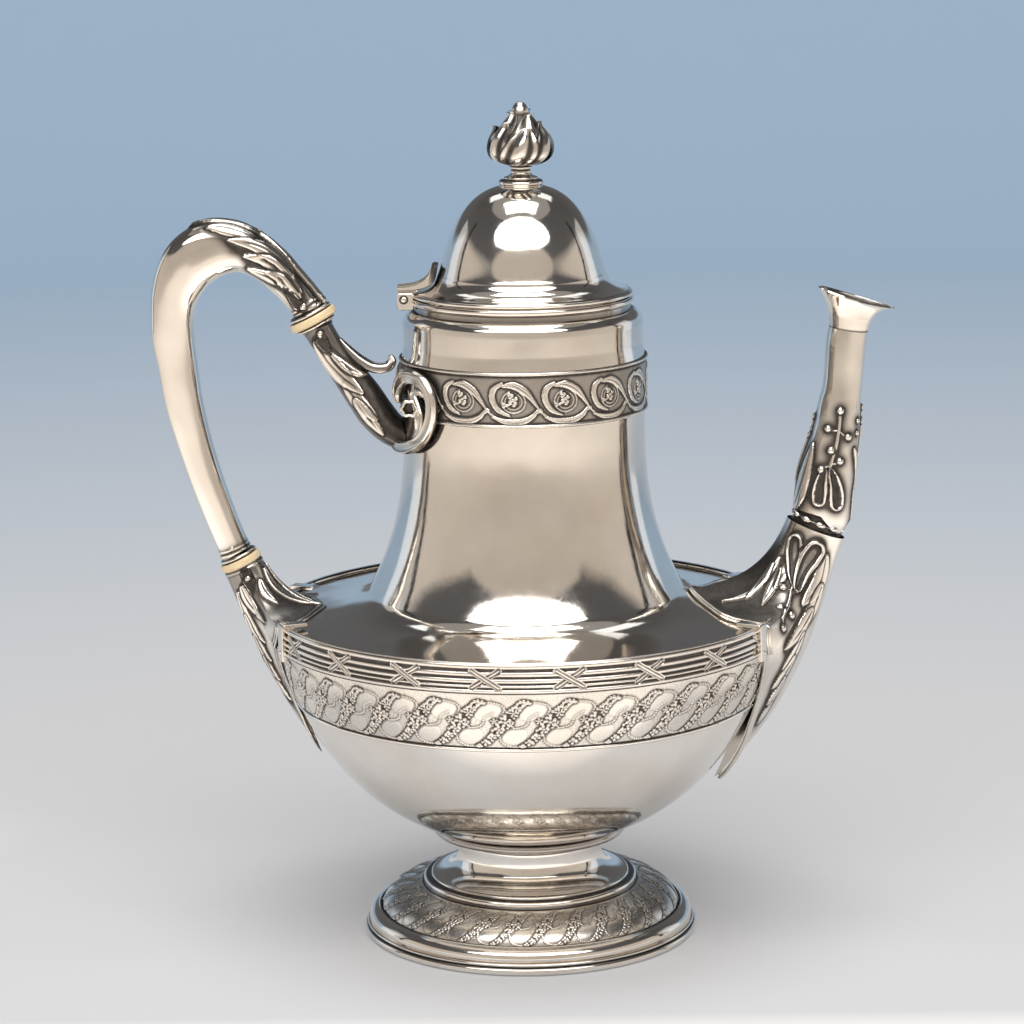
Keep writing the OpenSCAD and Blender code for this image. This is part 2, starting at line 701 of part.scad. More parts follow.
// [angle from -X round the neck, height, wire radius], from the arm to the eye
volute = [[10, 160.4, 1.9], [20, 160.2, 1.9], [31, 161.6, 1.9], [40, 165.2, 1.8], [45.4, 171, 1.7],
    [46.2, 177, 1.6], [42, 182, 1.5], [34, 183, 1.4], [26.5, 180.2, 1.3], [24.5, 175.8, 1.1],
    [28.8, 173.4, 0.9]];
volute_r = 41.4;

module neck_volutes() {
    color(SILVER) for (side = [-1, 1]) {
        wire([for (p = smooth(volute, 3))
            [-volute_r * cos(p.x), side * volute_r * sin(p.x), p.y, p[2]]], 12);
    }
}

SOCKET_TILT = -25;
SOCKET_SWELL = [1.5, 6, 0.8];
function lower_socket_rings(inset) =
    let (p = on_line(lower_disc, lower_dir, -disc_t / 2))
    horn_rings(socket_seat, [-p.x, 0, p.y], SOCKET_TILT, 6.4, 6.2, 8, 0.5, SOCKET_SWELL, -1, inset);

module lower_socket() {
    color(SILVER) hollow_skin(lower_socket_rings(0), lower_socket_rings(spout_wall));
}

module handle_straps() {
    color(SILVER) rotate([0, 0, 180]) straps(handle_strap_at);
}

foot_base_ring();
foot_dome();
foot_stem();
foot_joint_bead();
body_bowl();
body_frieze_band();
reeded_band();
body_shoulder_neck();
neck_frieze_band();
neck_rim_ring();
spout_base();
spout_eave_moulding();
spout_collar();
spout_tube();
spout_lip();
spout_straps();
handle_grip();
upper_grip_ferrule();
upper_insulator();
upper_socket_ferrule();
upper_insulator_pins();
upper_socket();
upper_socket_curl();
neck_volutes();
lower_grip_ferrule();
lower_insulator();
lower_insulator_pins();
lower_socket();
handle_straps();
hinge_bracket();
hinge_pin();
lid_dome();
lid_bezel();
lid_hinge_knuckle();
lid_thumb_leaf();
finial_collar();
finial_stem();
finial_bud();
finial_screw();
finial_nut();
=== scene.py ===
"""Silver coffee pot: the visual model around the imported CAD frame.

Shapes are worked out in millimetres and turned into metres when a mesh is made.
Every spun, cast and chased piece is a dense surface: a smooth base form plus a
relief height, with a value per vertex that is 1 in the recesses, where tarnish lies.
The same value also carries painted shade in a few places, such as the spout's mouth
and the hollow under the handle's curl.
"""
import math
import bpy
import numpy as np
from mathutils import Matrix, Vector


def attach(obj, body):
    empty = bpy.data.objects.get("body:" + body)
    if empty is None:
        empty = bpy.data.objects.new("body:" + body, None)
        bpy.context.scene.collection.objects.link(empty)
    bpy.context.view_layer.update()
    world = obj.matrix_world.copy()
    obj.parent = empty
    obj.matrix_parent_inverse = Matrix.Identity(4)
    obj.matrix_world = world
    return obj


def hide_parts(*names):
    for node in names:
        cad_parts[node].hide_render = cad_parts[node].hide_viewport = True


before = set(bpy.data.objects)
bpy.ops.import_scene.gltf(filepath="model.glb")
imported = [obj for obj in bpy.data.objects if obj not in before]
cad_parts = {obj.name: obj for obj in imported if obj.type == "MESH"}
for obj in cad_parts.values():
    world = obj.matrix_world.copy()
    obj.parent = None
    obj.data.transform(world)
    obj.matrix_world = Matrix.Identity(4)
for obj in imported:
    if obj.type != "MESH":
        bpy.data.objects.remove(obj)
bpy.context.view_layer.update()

MM = 0.001
TAU = 2 * math.pi


# ---- curves and profiles ------------------------------------------------------

def pts(*pairs):
    return np.array(pairs, float)


def bezier(a, b, c, d, n):
    t = np.linspace(0, 1, n + 1)[:, None]
    a, b, c, d = (np.array(p, float) for p in (a, b, c, d))
    return (1 - t) ** 3 * a + 3 * (1 - t) ** 2 * t * b + 3 * (1 - t) * t ** 2 * c + t ** 3 * d


def arc(cx, cz, r, start, end, n=24):
    t = np.radians(np.linspace(start, end, n + 1))
    return np.c_[cx + r * np.cos(t), cz + r * np.sin(t)]


def joined(*runs):
    """Runs of points end to end, without the repeats where they meet."""
    out = [np.atleast_2d(runs[0])]
    for run in runs[1:]:
        run = np.atleast_2d(run)
        if np.allclose(out[-1][-1], run[0], atol=1e-6):
            run = run[1:]
        out.append(run)
    return np.vstack(out)


def through(stations, where):
    """Catmull-Rom curve through the stations, at fractional station numbers."""
    s = np.asarray(stations, float)
    last = len(s) - 1
    i = np.clip(np.floor(where).astype(int), 0, last - 1)
    t = (np.asarray(where) - i)[:, None]
    a, b = s[np.maximum(i - 1, 0)], s[i]
    c, d = s[i + 1], s[np.minimum(i + 2, last)]
    return 0.5 * (2 * b + (c - a) * t + (2 * a - 5 * b + 4 * c - d) * t ** 2
                  + (3 * b - a - 3 * c + d) * t ** 3)


def smooth(stations, n):
    return through(stations, np.linspace(0, len(stations) - 1, n))


def even(line, step):
    """The polyline again, with points a steady step apart."""
    line = np.asarray(line, float)
    length = np.r_[0, np.cumsum(np.linalg.norm(np.diff(line, axis=0), axis=1))]
    n = max(int(round(length[-1] / step)), 2)
    at = np.linspace(0, length[-1], n + 1)
    return np.c_[tuple(np.interp(at, length, line[:, k]) for k in range(line.shape[1]))]


# ---- meshes -----------------------------------------------------------------

def grid_quads(nu, nv, wrap_u=False, wrap_v=False):
    u = np.arange(nu if wrap_u else nu - 1)
    v = np.arange(nv if wrap_v else nv - 1)
    u, v = np.meshgrid(u, v, indexing="ij")
    a, b = u * nv + v, (u + 1) % nu * nv + v
    c, d = (u + 1) % nu * nv + (v + 1) % nv, u * nv + (v + 1) % nv
    return np.stack([a, b, c, d], -1).reshape(-1, 4)


def make(name, verts, faces, look, body, nodes=(), patina_and_shade=None, sharp=40):
    """A mesh object from millimetre points, given its material, body and CAD nodes."""
    mesh = bpy.data.meshes.new(name)
    faces = np.asarray(faces, dtype=np.int32) if len(faces) and not isinstance(faces, list) else faces
    mesh.from_pydata((np.asarray(verts, float) * MM).tolist(), [],
                     faces.tolist() if isinstance(faces, np.ndarray) else faces)
    mesh.polygons.foreach_set("use_smooth", np.ones(len(mesh.polygons), bool))
    values = np.zeros(len(verts)) if patina_and_shade is None else np.clip(np.ravel(patina_and_shade), 0, 1)
    mesh.attributes.new("patina_and_shade", "FLOAT", "POINT").data.foreach_set("value", values)
    mesh.set_sharp_from_angle(angle=math.radians(sharp))
    mesh.materials.append(LOOKS[look])
    mesh.update()
    obj = bpy.data.objects.new(name, mesh)
    bpy.context.scene.collection.objects.link(obj)
    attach(obj, body)
    if nodes:
        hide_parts(*([nodes] if isinstance(nodes, str) else nodes))
    return obj


def blur(h, step_u, step_v, radius):
    """Gaussian blur of a height grid; radius and steps in millimetres."""
    fu = np.fft.fftfreq(h.shape[0], step_u)[:, None]
    fv = np.fft.rfftfreq(h.shape[1], step_v)[None, :]
    return np.fft.irfft2(np.fft.rfft2(h) * np.exp(-2 * (math.pi * radius) ** 2 * (fu ** 2 + fv ** 2)),
                         s=h.shape)


def recess(h, step_u, step_v, radius=0.5, depth=0.16, floor=0.0):
    """1 in the hollows of a relief and 0 on its high places."""
    pad = 8
    wide = np.pad(h, ((0, 0), (pad, pad)), mode="edge")
    low = blur(wide, step_u, step_v, radius)[:, pad:-pad] - h
    return np.clip(low / depth + floor, 0, 1)


def normals(p, wrap_u=False, wrap_v=False):
    def slope(axis, wrap):
        if wrap:
            return np.roll(p, -1, axis) - np.roll(p, 1, axis)
        return np.gradient(p, axis=axis)
    n = np.cross(slope(0, wrap_u), slope(1, wrap_v))
    return n / np.maximum(np.linalg.norm(n, axis=2, keepdims=True), 1e-9)


def surface(name, p, look, body, nodes=(), h=None, out=1, wrap_u=True, patina_and_shade=None,
            caps=(), sharp=40, skirt=0.0):
    """A grid of points p[u, v] raised by h along its normal. out is -1 where the
    grid's own normal points inwards. caps closes the ends "low" and "high"."""
    n = normals(p, wrap_u) * out
    if h is not None:
        p = p + n * h[..., None]
    if skirt:
        p = np.concatenate([p[:, :1] - n[:, :1] * skirt, p, p[:, -1:] - n[:, -1:] * skirt], 1)
        if patina_and_shade is not None:
            patina_and_shade = np.concatenate([patina_and_shade[:, :1], patina_and_shade, patina_and_shade[:, -1:]], 1)
    nu, nv = p.shape[:2]
    quads = grid_quads(nu, nv, wrap_u)
    if out < 0:
        quads = quads[:, ::-1]
    faces = quads.tolist()
    for end, v in (("low", 0), ("high", nv - 1)):
        if end in caps:
            ring = [u * nv + v for u in range(nu)]
            faces.append(ring[::-1] if (end == "high") == (out > 0) else ring)
    return make(name, p.reshape(-1, 3), faces, look, body, nodes, patina_and_shade, sharp)


def turned(profile, around):
    """Grid [u, v] of a profile of (r, z) points turned about the Z axis."""
    a = np.linspace(0, TAU, around, endpoint=False)[:, None]
    r, z = profile[None, :, 0], profile[None, :, 1]
    return np.stack([r * np.cos(a), r * np.sin(a), z + 0 * a], -1)


def lathe(name, profile, look, body, nodes=(), around=256, patina_and_shade=None, sharp=32, closed=True):
    """A turned piece. The profile runs upwards on the outside, and closed joins its ends."""
    p = turned(profile, around)
    nu, nv = p.shape[:2]
    shade = None if patina_and_shade is None else np.broadcast_to(patina_and_shade, (nu, nv))
    return make(name, p.reshape(-1, 3), grid_quads(nu, nv, True, closed), look, body, nodes, shade, sharp)


def tube(line, radius, sides=12, squash=1.0):
    """Verts and faces of a capped round tube along 3-D points."""
    line = np.asarray(line, float)
    radius = np.broadcast_to(radius, len(line))
    t = np.gradient(line, axis=0)
    t /= np.linalg.norm(t, axis=1, keepdims=True)
    ref = np.array([0, 1, 0]) if abs(t[:, 1]).mean() < 0.8 else np.array([1, 0, 0])
    a = np.cross(t, ref)
    a /= np.linalg.norm(a, axis=1, keepdims=True)
    b = np.cross(t, a)
    w = np.linspace(0, TAU, sides, endpoint=False)
    ring = (np.cos(w)[None, :, None] * a[:, None] + squash * np.sin(w)[None, :, None] * b[:, None])
    v = line[:, None] + radius[:, None, None] * ring
    n = len(line)
    faces = grid_quads(n, sides, False, True)[:, ::-1].tolist()
    faces.append(list(range(sides)))
    faces.append([(n - 1) * sides + k for k in range(sides)][::-1])
    return v.reshape(-1, 3), faces


def merged(parts):
    """One mesh's verts and faces from several."""
    verts, faces, start = [], [], 0
    for v, f in parts:
        verts.append(v)
        faces += [[k + start for k in face] for face in f]
        start += len(v)
    return np.vstack(verts), faces


def ball(centre, radii, n=14):
    """Verts and faces of an ellipsoid; radii may be one number or three."""
    radii = np.broadcast_to(radii, 3)
    rows = np.linspace(0, math.pi, n // 2 + 1)[1:-1]
    cols = np.linspace(0, TAU, n, endpoint=False)
    grid = np.array([[math.sin(a) * math.cos(b), math.sin(a) * math.sin(b), math.cos(a)]
                     for a in rows for b in cols])
    v = np.vstack([grid, [[0, 0, 1], [0, 0, -1]]]) * radii + np.asarray(centre)
    m = len(rows)
    faces = grid_quads(m, n, False, True).tolist()
    top, low = m * n, m * n + 1
    faces += [[top, k, (k + 1) % n] for k in range(n)]
    faces += [[low, (m - 1) * n + (k + 1) % n, (m - 1) * n + k] for k in range(n)]
    return v, faces


# ---- relief drawing --------------------------------------------------------------

OUTLINE = 0.34      # thickness of the dark line round each leaf


class Relief:
    """A height map in millimetres over points p[u, v, :], on which ornament is drawn.
    The points are flat (x, y), where x may wrap after width, or places in space."""

    def __init__(self, p, width=None):
        self.p = p
        self.h = np.zeros(p.shape[:2])
        self.dark = np.zeros(p.shape[:2])
        self.width = width

    def away(self, place):
        """Offsets from a place, the short way round."""
        d = self.p - np.asarray(place)
        if self.width is not None:
            d[..., 0] = (d[..., 0] + self.width / 2) % self.width - self.width / 2
        return d

    def raise_to(self, level):
        self.h = np.maximum(self.h, level)

    def oval(self, x, y, a, b, angle, height, power=0.5):
        c, s = math.cos(math.radians(angle)), math.sin(math.radians(angle))
        d = self.away((x, y))
        q = ((d[..., 0] * c + d[..., 1] * s) / a) ** 2 + ((d[..., 1] * c - d[..., 0] * s) / b) ** 2
        self.raise_to(height * np.clip(1 - q, 0, 1) ** power)

    def bead(self, place, r, height, ring=0.0):
        q = np.sqrt((self.away(place) ** 2).sum(-1)) / r
        self.raise_to(height * np.sqrt(np.clip(1 - q * q, 0, 1)))
        if ring:
            self.outline(q, r, ring, 0.9)

    def outline(self, q, r, thick, clear=1.0):
        """A dark line round the shape whose edge is at q = 1, and none inside it."""
        line = np.clip(1.5 - np.abs((q - 1) * r - 0.5 * thick) / thick, 0, 1)
        self.dark = np.where(q < clear, 0, np.maximum(self.dark, line))

    def near(self, line, radius):
        """Distance to a line over the radius there, and how far along it is."""
        line = np.asarray(line, float)
        radius = np.broadcast_to(radius, len(line))
        best, along = np.full(self.h.shape, 9.0), np.zeros(self.h.shape)
        span = np.r_[0, np.cumsum(np.linalg.norm(np.diff(line, axis=0), axis=1))]
        for k in range(len(line) - 1):
            d, e = self.away(line[k]), line[k + 1] - line[k]
            t = np.clip((d @ e) / max(e @ e, 1e-9), 0, 1)
            r = radius[k] + (radius[k + 1] - radius[k]) * t
            q = np.linalg.norm(d - t[..., None] * e, axis=-1) / np.maximum(r, 1e-6)
            hit = q < best
            best = np.where(hit, q, best)
            along = np.where(hit, span[k] + t * (span[k + 1] - span[k]), along)
        return best, along / span[-1]

    def stroke(self, line, radius, height, power=0.5):
        q, _ = self.near(line, radius)
        self.raise_to(height * np.clip(1 - q * q, 0, 1) ** power)

    def beads(self, line, spacing, r, height):
        for place in even(line, spacing):
            self.bead(place, r, height)

    def leaf(self, line, widths, height, groove=0.35, lift=0.0, ribs=0, edge=0.35, n=24):
        """A leaf laid over what is there: crowned, with a midrib groove and a crisp edge."""
        line = smooth(line, n)
        radius = np.interp(np.linspace(0, 1, n), np.linspace(0, 1, len(widths)), widths)
        q, along = self.near(line, radius)
        inside = q < 1
        crown = edge + (1 - edge) * np.clip(1 - q ** 4, 0, 1)
        body = height * crown * (1 - groove * np.exp(-(q / 0.16) ** 2))
        if ribs:
            wave = 0.5 + 0.5 * np.cos(TAU * ribs * (along * 2.2 - q * 0.55))
            body = body * (1 - 0.22 * wave * (q > 0.2))
        self.h = np.where(inside, np.maximum(body + lift, self.h * 0.35 + body), self.h)
        self.outline(q, radius.max(), OUTLINE)


# ---- materials --------------------------------------------------------------------

class Nodes:
    """A short way to write a node tree."""

    def __init__(self, name):
        self.material = bpy.data.materials.new(name)
        self.material.use_nodes = True
        self.tree = self.material.node_tree
        self.shader = self.tree.nodes["Principled BSDF"]
        self.place = self.add("ShaderNodeTexCoord").outputs["Object"]

    def add(self, kind, **values):
        node = self.tree.nodes.new(kind)
        for key, value in values.items():
            if hasattr(node, key):
                setattr(node, key, value)
            else:
                self.put(node.inputs[key.replace("_", " ")], value)
        return node

    def put(self, socket, value):
        if isinstance(value, bpy.types.NodeSocket):
            self.tree.links.new(value, socket)
        else:
            socket.default_value = value

    def noise(self, scale, detail=4.0, rough=0.55, place=None):
        node = self.add("ShaderNodeTexNoise")
        self.put(node.inputs["Vector"], place or self.place)
        self.put(node.inputs["Scale"], scale)
        self.put(node.inputs["Detail"], detail)
        self.put(node.inputs["Roughness"], rough)
        return node.outputs["Fac"]

    def stretched(self, x, y, z):
        node = self.add("ShaderNodeMapping")
        self.put(node.inputs["Vector"], self.place)
        node.inputs["Scale"].default_value = (x, y, z)
        return node.outputs["Vector"]

    def span(self, value, a, b, c, d):
        node = self.add("ShaderNodeMapRange")
        self.put(node.inputs["Value"], value)
        for k, v in zip(("From Min", "From Max", "To Min", "To Max"), (a, b, c, d)):
            node.inputs[k].default_value = v
        return node.outputs["Result"]

    def math(self, operation, a, b):
        node = self.add("ShaderNodeMath", operation=operation)
        self.put(node.inputs[0], a)
        self.put(node.inputs[1], b)
        return node.outputs[0]

    def mix(self, factor, a, b):
        node = self.add("ShaderNodeMix", data_type="RGBA")
        self.put(node.inputs["Factor"], factor)
        self.put(node.inputs[6], a)
        self.put(node.inputs[7], b)
        return node.outputs[2]

    def attribute(self, name):
        return self.add("ShaderNodeAttribute", attribute_name=name).outputs["Fac"]

    def bump(self, *layers):
        """Layers of (height, distance in metres), one bump node feeding the next."""
        last = None
        for height, distance in layers:
            node = self.add("ShaderNodeBump")
            node.inputs["Strength"].default_value = 1.0
            node.inputs["Distance"].default_value = distance
            self.put(node.inputs["Height"], height)
            if last is not None:
                self.put(node.inputs["Normal"], last)
            last = node.outputs["Normal"]
        self.put(self.shader.inputs["Normal"], last)


def rgb(r, g, b):
    return (r, g, b, 1.0)


def silver(name, bright, dull, roughness, grain, stain):
    """Silver with worn tarnish: the per-vertex value darkens the recesses as tarnish and also darkens the
    few places where shade is painted; noise clouds the polish.
    """
    m = Nodes(name)
    m.shader.inputs["Metallic"].default_value = 1.0
    deep = rgb(0.045, 0.038, 0.034)
    clouds = m.noise(38.0, 5.0)
    fine = m.noise(420.0, 6.0, 0.65)
    hair = m.noise(1.0, 3.0, 0.5, m.stretched(900.0, 900.0, 70.0))
    colour = m.mix(m.span(clouds, 0.35, 0.7, 0.0, stain), rgb(*bright), rgb(*dull))
    patina_and_shade = m.attribute("patina_and_shade")
    bare = m.math("POWER", m.math("SUBTRACT", 1.0, patina_and_shade), 2.4)
    worn = m.math("MULTIPLY", m.math("SUBTRACT", 1.0, bare), m.span(fine, 0.2, 0.75, 0.9, 1.0))
    m.put(m.shader.inputs["Base Color"], m.mix(worn, colour, deep))
    rough = m.math("ADD", m.span(fine, 0.3, 0.75, roughness[0], roughness[1]),
                   m.span(patina_and_shade, 0.0, 1.0, 0.0, 0.32))
    m.put(m.shader.inputs["Roughness"], rough)
    m.bump((m.noise(26.0, 2.0), 0.0006), (hair, 0.000012), (fine, grain))
    return m.material


def ivory_look():
    m = Nodes("ivory")
    grain = m.noise(1.0, 5.0, 0.6, m.stretched(260.0, 260.0, 1500.0))
    clouds = m.noise(160.0, 4.0)
    colour = m.mix(m.span(grain, 0.35, 0.7, 0.0, 0.7), rgb(0.80, 0.66, 0.42), rgb(0.66, 0.50, 0.29))
    colour = m.mix(m.span(clouds, 0.4, 0.75, 0.0, 0.45), colour, rgb(0.84, 0.73, 0.52))
    m.put(m.shader.inputs["Base Color"], m.mix(m.attribute("patina_and_shade"), colour, rgb(0.30, 0.20, 0.12)))
    m.put(m.shader.inputs["Roughness"], m.span(clouds, 0.3, 0.7, 0.28, 0.42))
    m.shader.inputs["Subsurface Weight"].default_value = 0.12
    m.shader.inputs["Subsurface Scale"].default_value = 0.002
    m.shader.inputs["Coat Weight"].default_value = 0.25
    m.shader.inputs["Coat Roughness"].default_value = 0.25
    m.bump((grain, 0.00004))
    return m.material


LOOKS = {
    "polished": silver("polished_silver", (0.86, 0.82, 0.765), (0.72, 0.655, 0.585),
                       (0.055, 0.13), 0.000003, 0.7),
    "chased": silver("chased_silver", (0.80, 0.76, 0.70), (0.62, 0.57, 0.51), (0.20, 0.34), 0.00002, 0.8),
    "cast": silver("cast_silver", (0.84, 0.80, 0.745), (0.66, 0.60, 0.535), (0.12, 0.22), 0.000008, 0.8),
    "fittings": silver("silver_fittings", (0.82, 0.79, 0.74), (0.66, 0.61, 0.55),
                       (0.10, 0.2), 0.000006, 0.7),
    "ivory": ivory_look(),
}

# ---- the body's outline, in millimetres (r, z) ------------------------------------

BOWL_FOOT, BOWL_RIM = (28, 34.1), (79.3, 100.0)
BAND_LOW, BAND_HIGH = 77.4, 97.2     # heights of the chased band on the bowl
CREASE = np.array([50.2, 112.4])
CREASE_DIR = np.array([math.cos(math.radians(62)), -math.sin(math.radians(62))])
NECK_R, NECK_TOP_R = 38.3, 37.7
NECK_BAND = (170.0, 187.2)
RIM_R, RIM_TOP, RIM_INNER_R = 35.2, 205.8, 32.9
LID_Z = RIM_TOP + 0.3
LID_TOP = 241.0
FOOT_R = 53.8
WALL = 1.0

bowl_line = bezier(BOWL_FOOT, (68.5, 47.1), (79.3, 89.1), BOWL_RIM, 160)
shoulder_line = bezier((78.9, 105.25), (66, 106.4), CREASE + 7 * CREASE_DIR, CREASE, 70)
flare_line = bezier(CREASE, CREASE - 10.8 * CREASE_DIR, (NECK_R, 136.5), (NECK_R, 162), 90)


def height_to_radius(line, z):
    return np.interp(z, line[:, 1], line[:, 0])


def shell(line, wall=WALL):
    """Closed outline of a sheet of metal whose outer face is the line."""
    t = np.gradient(line, axis=0)
    n = np.c_[-t[:, 1], t[:, 0]] / np.linalg.norm(t, axis=1)[:, None]
    inner = line + wall * n
    inner[:, 0] = np.maximum(inner[:, 0], 0.01)
    return np.vstack([line, inner[::-1]])


def foot():
    ring = joined(pts((FOOT_R - 4.4, 3.8), (FOOT_R - 4.4, 0.02), (FOOT_R - 1.6, 0.02)),
                  arc(FOOT_R - 1.2, 1.2, 1.2, -80, 78), pts((FOOT_R - 1.05, 2.45),),
                  arc(FOOT_R - 1.35, 3.0, 0.62, -40, 90), pts((FOOT_R - 1.9, 3.8),))
    dark = np.exp(-((ring[:, 1] - 2.5) / 0.28) ** 2) * (ring[:, 0] > FOOT_R - 2)
    lathe("foot_base_ring", ring, "polished", "pot", "foot_base_ring", patina_and_shade=dark)
    edge = FOOT_R - 5.8
    ovolo = joined(pts((FOOT_R - 1.9, 3.8),), arc(FOOT_R - 4.6, 4.5, 3.2, -4, 86),
                   arc(edge + 0.75, 7.55, 0.45, 40, 170, 10))
    lathe("foot_ovolo", np.vstack([ovolo, ovolo[::-1] - [0.9, 0.9]]), "polished", "pot",
          patina_and_shade=np.r_[np.clip((edge + 1.1 - ovolo[:, 0]) / 0.5, 0, 1), np.ones(len(ovolo))])
    dome = even(bezier((edge + 0.1, 7.4), (edge - 1.0, 11.6), (42, 14.3), (34.6, 15.2), 80), 0.17)
    relief_band("foot_dome", dome, garland_cell, 28, 9.8 * 1.02, "chased", ["foot_dome"], 0.62,
                around_step=0.2, shine=0.25)
    step = joined(pts((34.5, 15.2), (34.7, 15.3)), arc(33.3, 16.45, 1.15, -60, 88, 16),
                  pts((32.2, 17.75),), arc(31.4, 18.0, 0.55, 10, 95, 10))
    spool = bezier((31.0, 18.5), (26.2, 18.9), (23.0, 22), (23.0, 26.5), 40)
    top = joined(pts((23.1, 28.6),), arc(23.9, 29.5, 0.75, 200, 40, 12), pts((24.7, 30.6),),
                 bezier((24.7, 30.8), (24.8, 31.6), (25.5, 32.1), (28.2, 32.25), 14))
    line = joined(step, spool, top)
    dark = np.exp(-((line[:, 1] - 17.7) / 0.22) ** 2) + np.exp(-((line[:, 1] - 30.6) / 0.3) ** 2)
    dark = dark + np.exp(-((line[:, 1] - 15.1) / 0.35) ** 2)
    lathe("foot_stem", shell(line), "polished", "pot", "foot_stem", patina_and_shade=np.r_[dark, dark[::-1] * 0])
    lathe("foot_joint_bead", arc(29.9, 33.4, 1.3, -180, 180, 40)[:-1], "polished", "pot",
          "foot_joint_bead", patina_and_shade=np.full(40, 0.25))


def bowl():
    line = joined(bowl_line[bowl_line[:, 1] < BAND_LOW + 0.6],
                  bowl_line[bowl_line[:, 1] >= BAND_LOW + 0.6] - [0.2, 0])
    solid = joined(pts((0.01, BOWL_FOOT[1] - 0.9), (BOWL_FOOT[0], BOWL_FOOT[1] - 0.9)), line)
    inner = shell(line)[len(line):]
    outline = np.vstack([solid, inner, [[0.01, BOWL_FOOT[1] + 1.1]]])
    dark = np.exp(-((outline[:, 1] - 34.0) / 0.8) ** 2) * (outline[:, 0] > 27)
    lathe("body_bowl", outline, "polished", "pot", "body_bowl", around=320, patina_and_shade=dark)


def garland_cell(r):
    """One slanting garland of fruit and flowers with the two smooth ovals beside it.
    Drawn on a cell 13.4 mm wide and 18.9 mm high with its middle cluster at (0, 0)."""
    r.h = np.random.default_rng(4).uniform(0, 0.05, r.h.shape)
    r.oval(-5.2, 3.6, 4.3, 2.9, 28, 0.12, 0.25)
    r.oval(2.6, -5.4, 4.2, 2.7, 28, 0.12, 0.25)
    for line in (pts((6.3, 6.2), (8.8, 6.6), (11.6, 6.0), (13.2, 4.6), (12.6, 2.6)),
                 pts((9.8, 3.0), (7.2, 1.4), (6.5, -0.8), (4.7, -1.9), (2.4, -2.2)),
                 pts((-1.9, -4.6), (-1.6, -7.0), (0.4, -8.5), (3.2, -8.9), (5.2, -8.2))):
        r.beads(smooth(line, 30), 0.82, 0.40, 0.26)
    path = smooth(pts((-8.9, -8.7), (-6.4, -7.3), (-4.0, -4.9), (-2.0, -2.4), (0, 0), (1.9, 2.6),
                      (3.5, 4.6), (5.2, 6.2), (7.4, 6.6)), 60)
    spread = np.interp(np.linspace(0, 1, 60), [0, 0.2, 0.45, 0.55, 0.8, 1],
                       [0.5, 1.0, 1.9, 1.9, 0.9, 0.4])
    scatter = np.random.default_rng(3)
    for k in range(0, 60, 3):
        for side in (-1, 1):
            off = side * spread[k] * scatter.uniform(0.55, 1.0)
            r.bead(path[k] + [off * 0.72, -off * 0.72], scatter.uniform(0.52, 0.76), 0.46)
    for x, y, size in ((0, 0, 1.0), (-2.0, -2.6, 0.85), (-4.2, -4.9, 0.7), (2.4, 3.0, 0.72),
                       (3.6, 4.7, 0.6), (-3.4, 0.3, 0.62), (-6.1, -7.0, 0.55), (1.4, -0.9, 0.6)):
        for k in range(5):
            a = TAU * (k / 5 + 0.07)
            r.oval(x + 1.28 * size * math.cos(a), y + 1.28 * size * math.sin(a),
                   0.86 * size, 0.66 * size, math.degrees(a), 0.50 * size ** 0.5)
        r.bead((x, y), 0.72 * size, 0.66 * size ** 0.5)
    q, _ = r.near(path, spread + 0.5)
    r.dark = 0.75 * np.clip((1.1 - q) / 0.4, 0, 1) * np.clip(1 - (r.h - 0.16) / 0.14, 0, 1)


def flat(x, y):
    return np.stack(np.broadcast_arrays(x, y), -1).astype(float)


def relief_band(name, line, cell, count, cell_width, look, nodes, scale, around_step=0.2,
                shine=0.0, edges=True):
    """A chased band: one drawn cell repeated round a turned line."""
    line = np.asarray(line)
    length = np.r_[0, np.cumsum(np.linalg.norm(np.diff(line, axis=0), axis=1))]
    across = int(round(cell_width / around_step))
    x = (np.arange(across) / across * 13.4 - 6.7)[:, None]
    y = ((length - length[-1] / 2) / length[-1] * 18.9)[None, :]
    drawn = Relief(flat(x, y), 13.4)
    cell(drawn)
    height = drawn.h * scale
    if edges:
        fade = np.clip(np.minimum(length, length[-1] - length) / 0.5, 0, 1)
        height = height * fade
    dark = recess(np.tile(height, (3, 1)), cell_width / across, length[-1] / len(line), 0.42,
                  0.10 * scale / 0.7)
    dark = np.maximum(dark[across:2 * across], drawn.dark)
    dark = np.maximum(dark * (1 - shine), np.exp(-((length[None, :] - 0.15) / 0.25) ** 2))
    dark = np.maximum(dark, np.exp(-((length[-1] - length[None, :] - 0.15) / 0.25) ** 2))
    p = turned(line, across * count)
    return surface(name, p, look, "pot", nodes, np.tile(height, (count, 1)), 1,
                   patina_and_shade=np.tile(dark, (count, 1)), skirt=0.6, sharp=180)


def frieze_band():
    z = np.linspace(78.9, BAND_HIGH, 96)
    line = np.c_[height_to_radius(bowl_line, z) + 0.12, z]
    relief_band("body_frieze_band", line, garland_cell, 36, 13.4, "chased", ["body_frieze_band"], 1.1)
    z = BAND_LOW + 0.75
    r = float(height_to_radius(bowl_line, z))
    bead = arc(r - 0.05, z, 0.62, -180, 180, 28)[:-1]
    lathe("frieze_lower_bead", bead, "polished", "pot",
          patina_and_shade=np.clip((np.abs(bead[:, 1] - z) - 0.42) / 0.18, 0, 1) * 0.9, around=320)


TIES = 20
REEDS = ((0.98, 105.55), (0.92, 103.2), (0.85, 101.15), (0.45, 99.55), (0.72, 98.0))
REED_R = 81.05


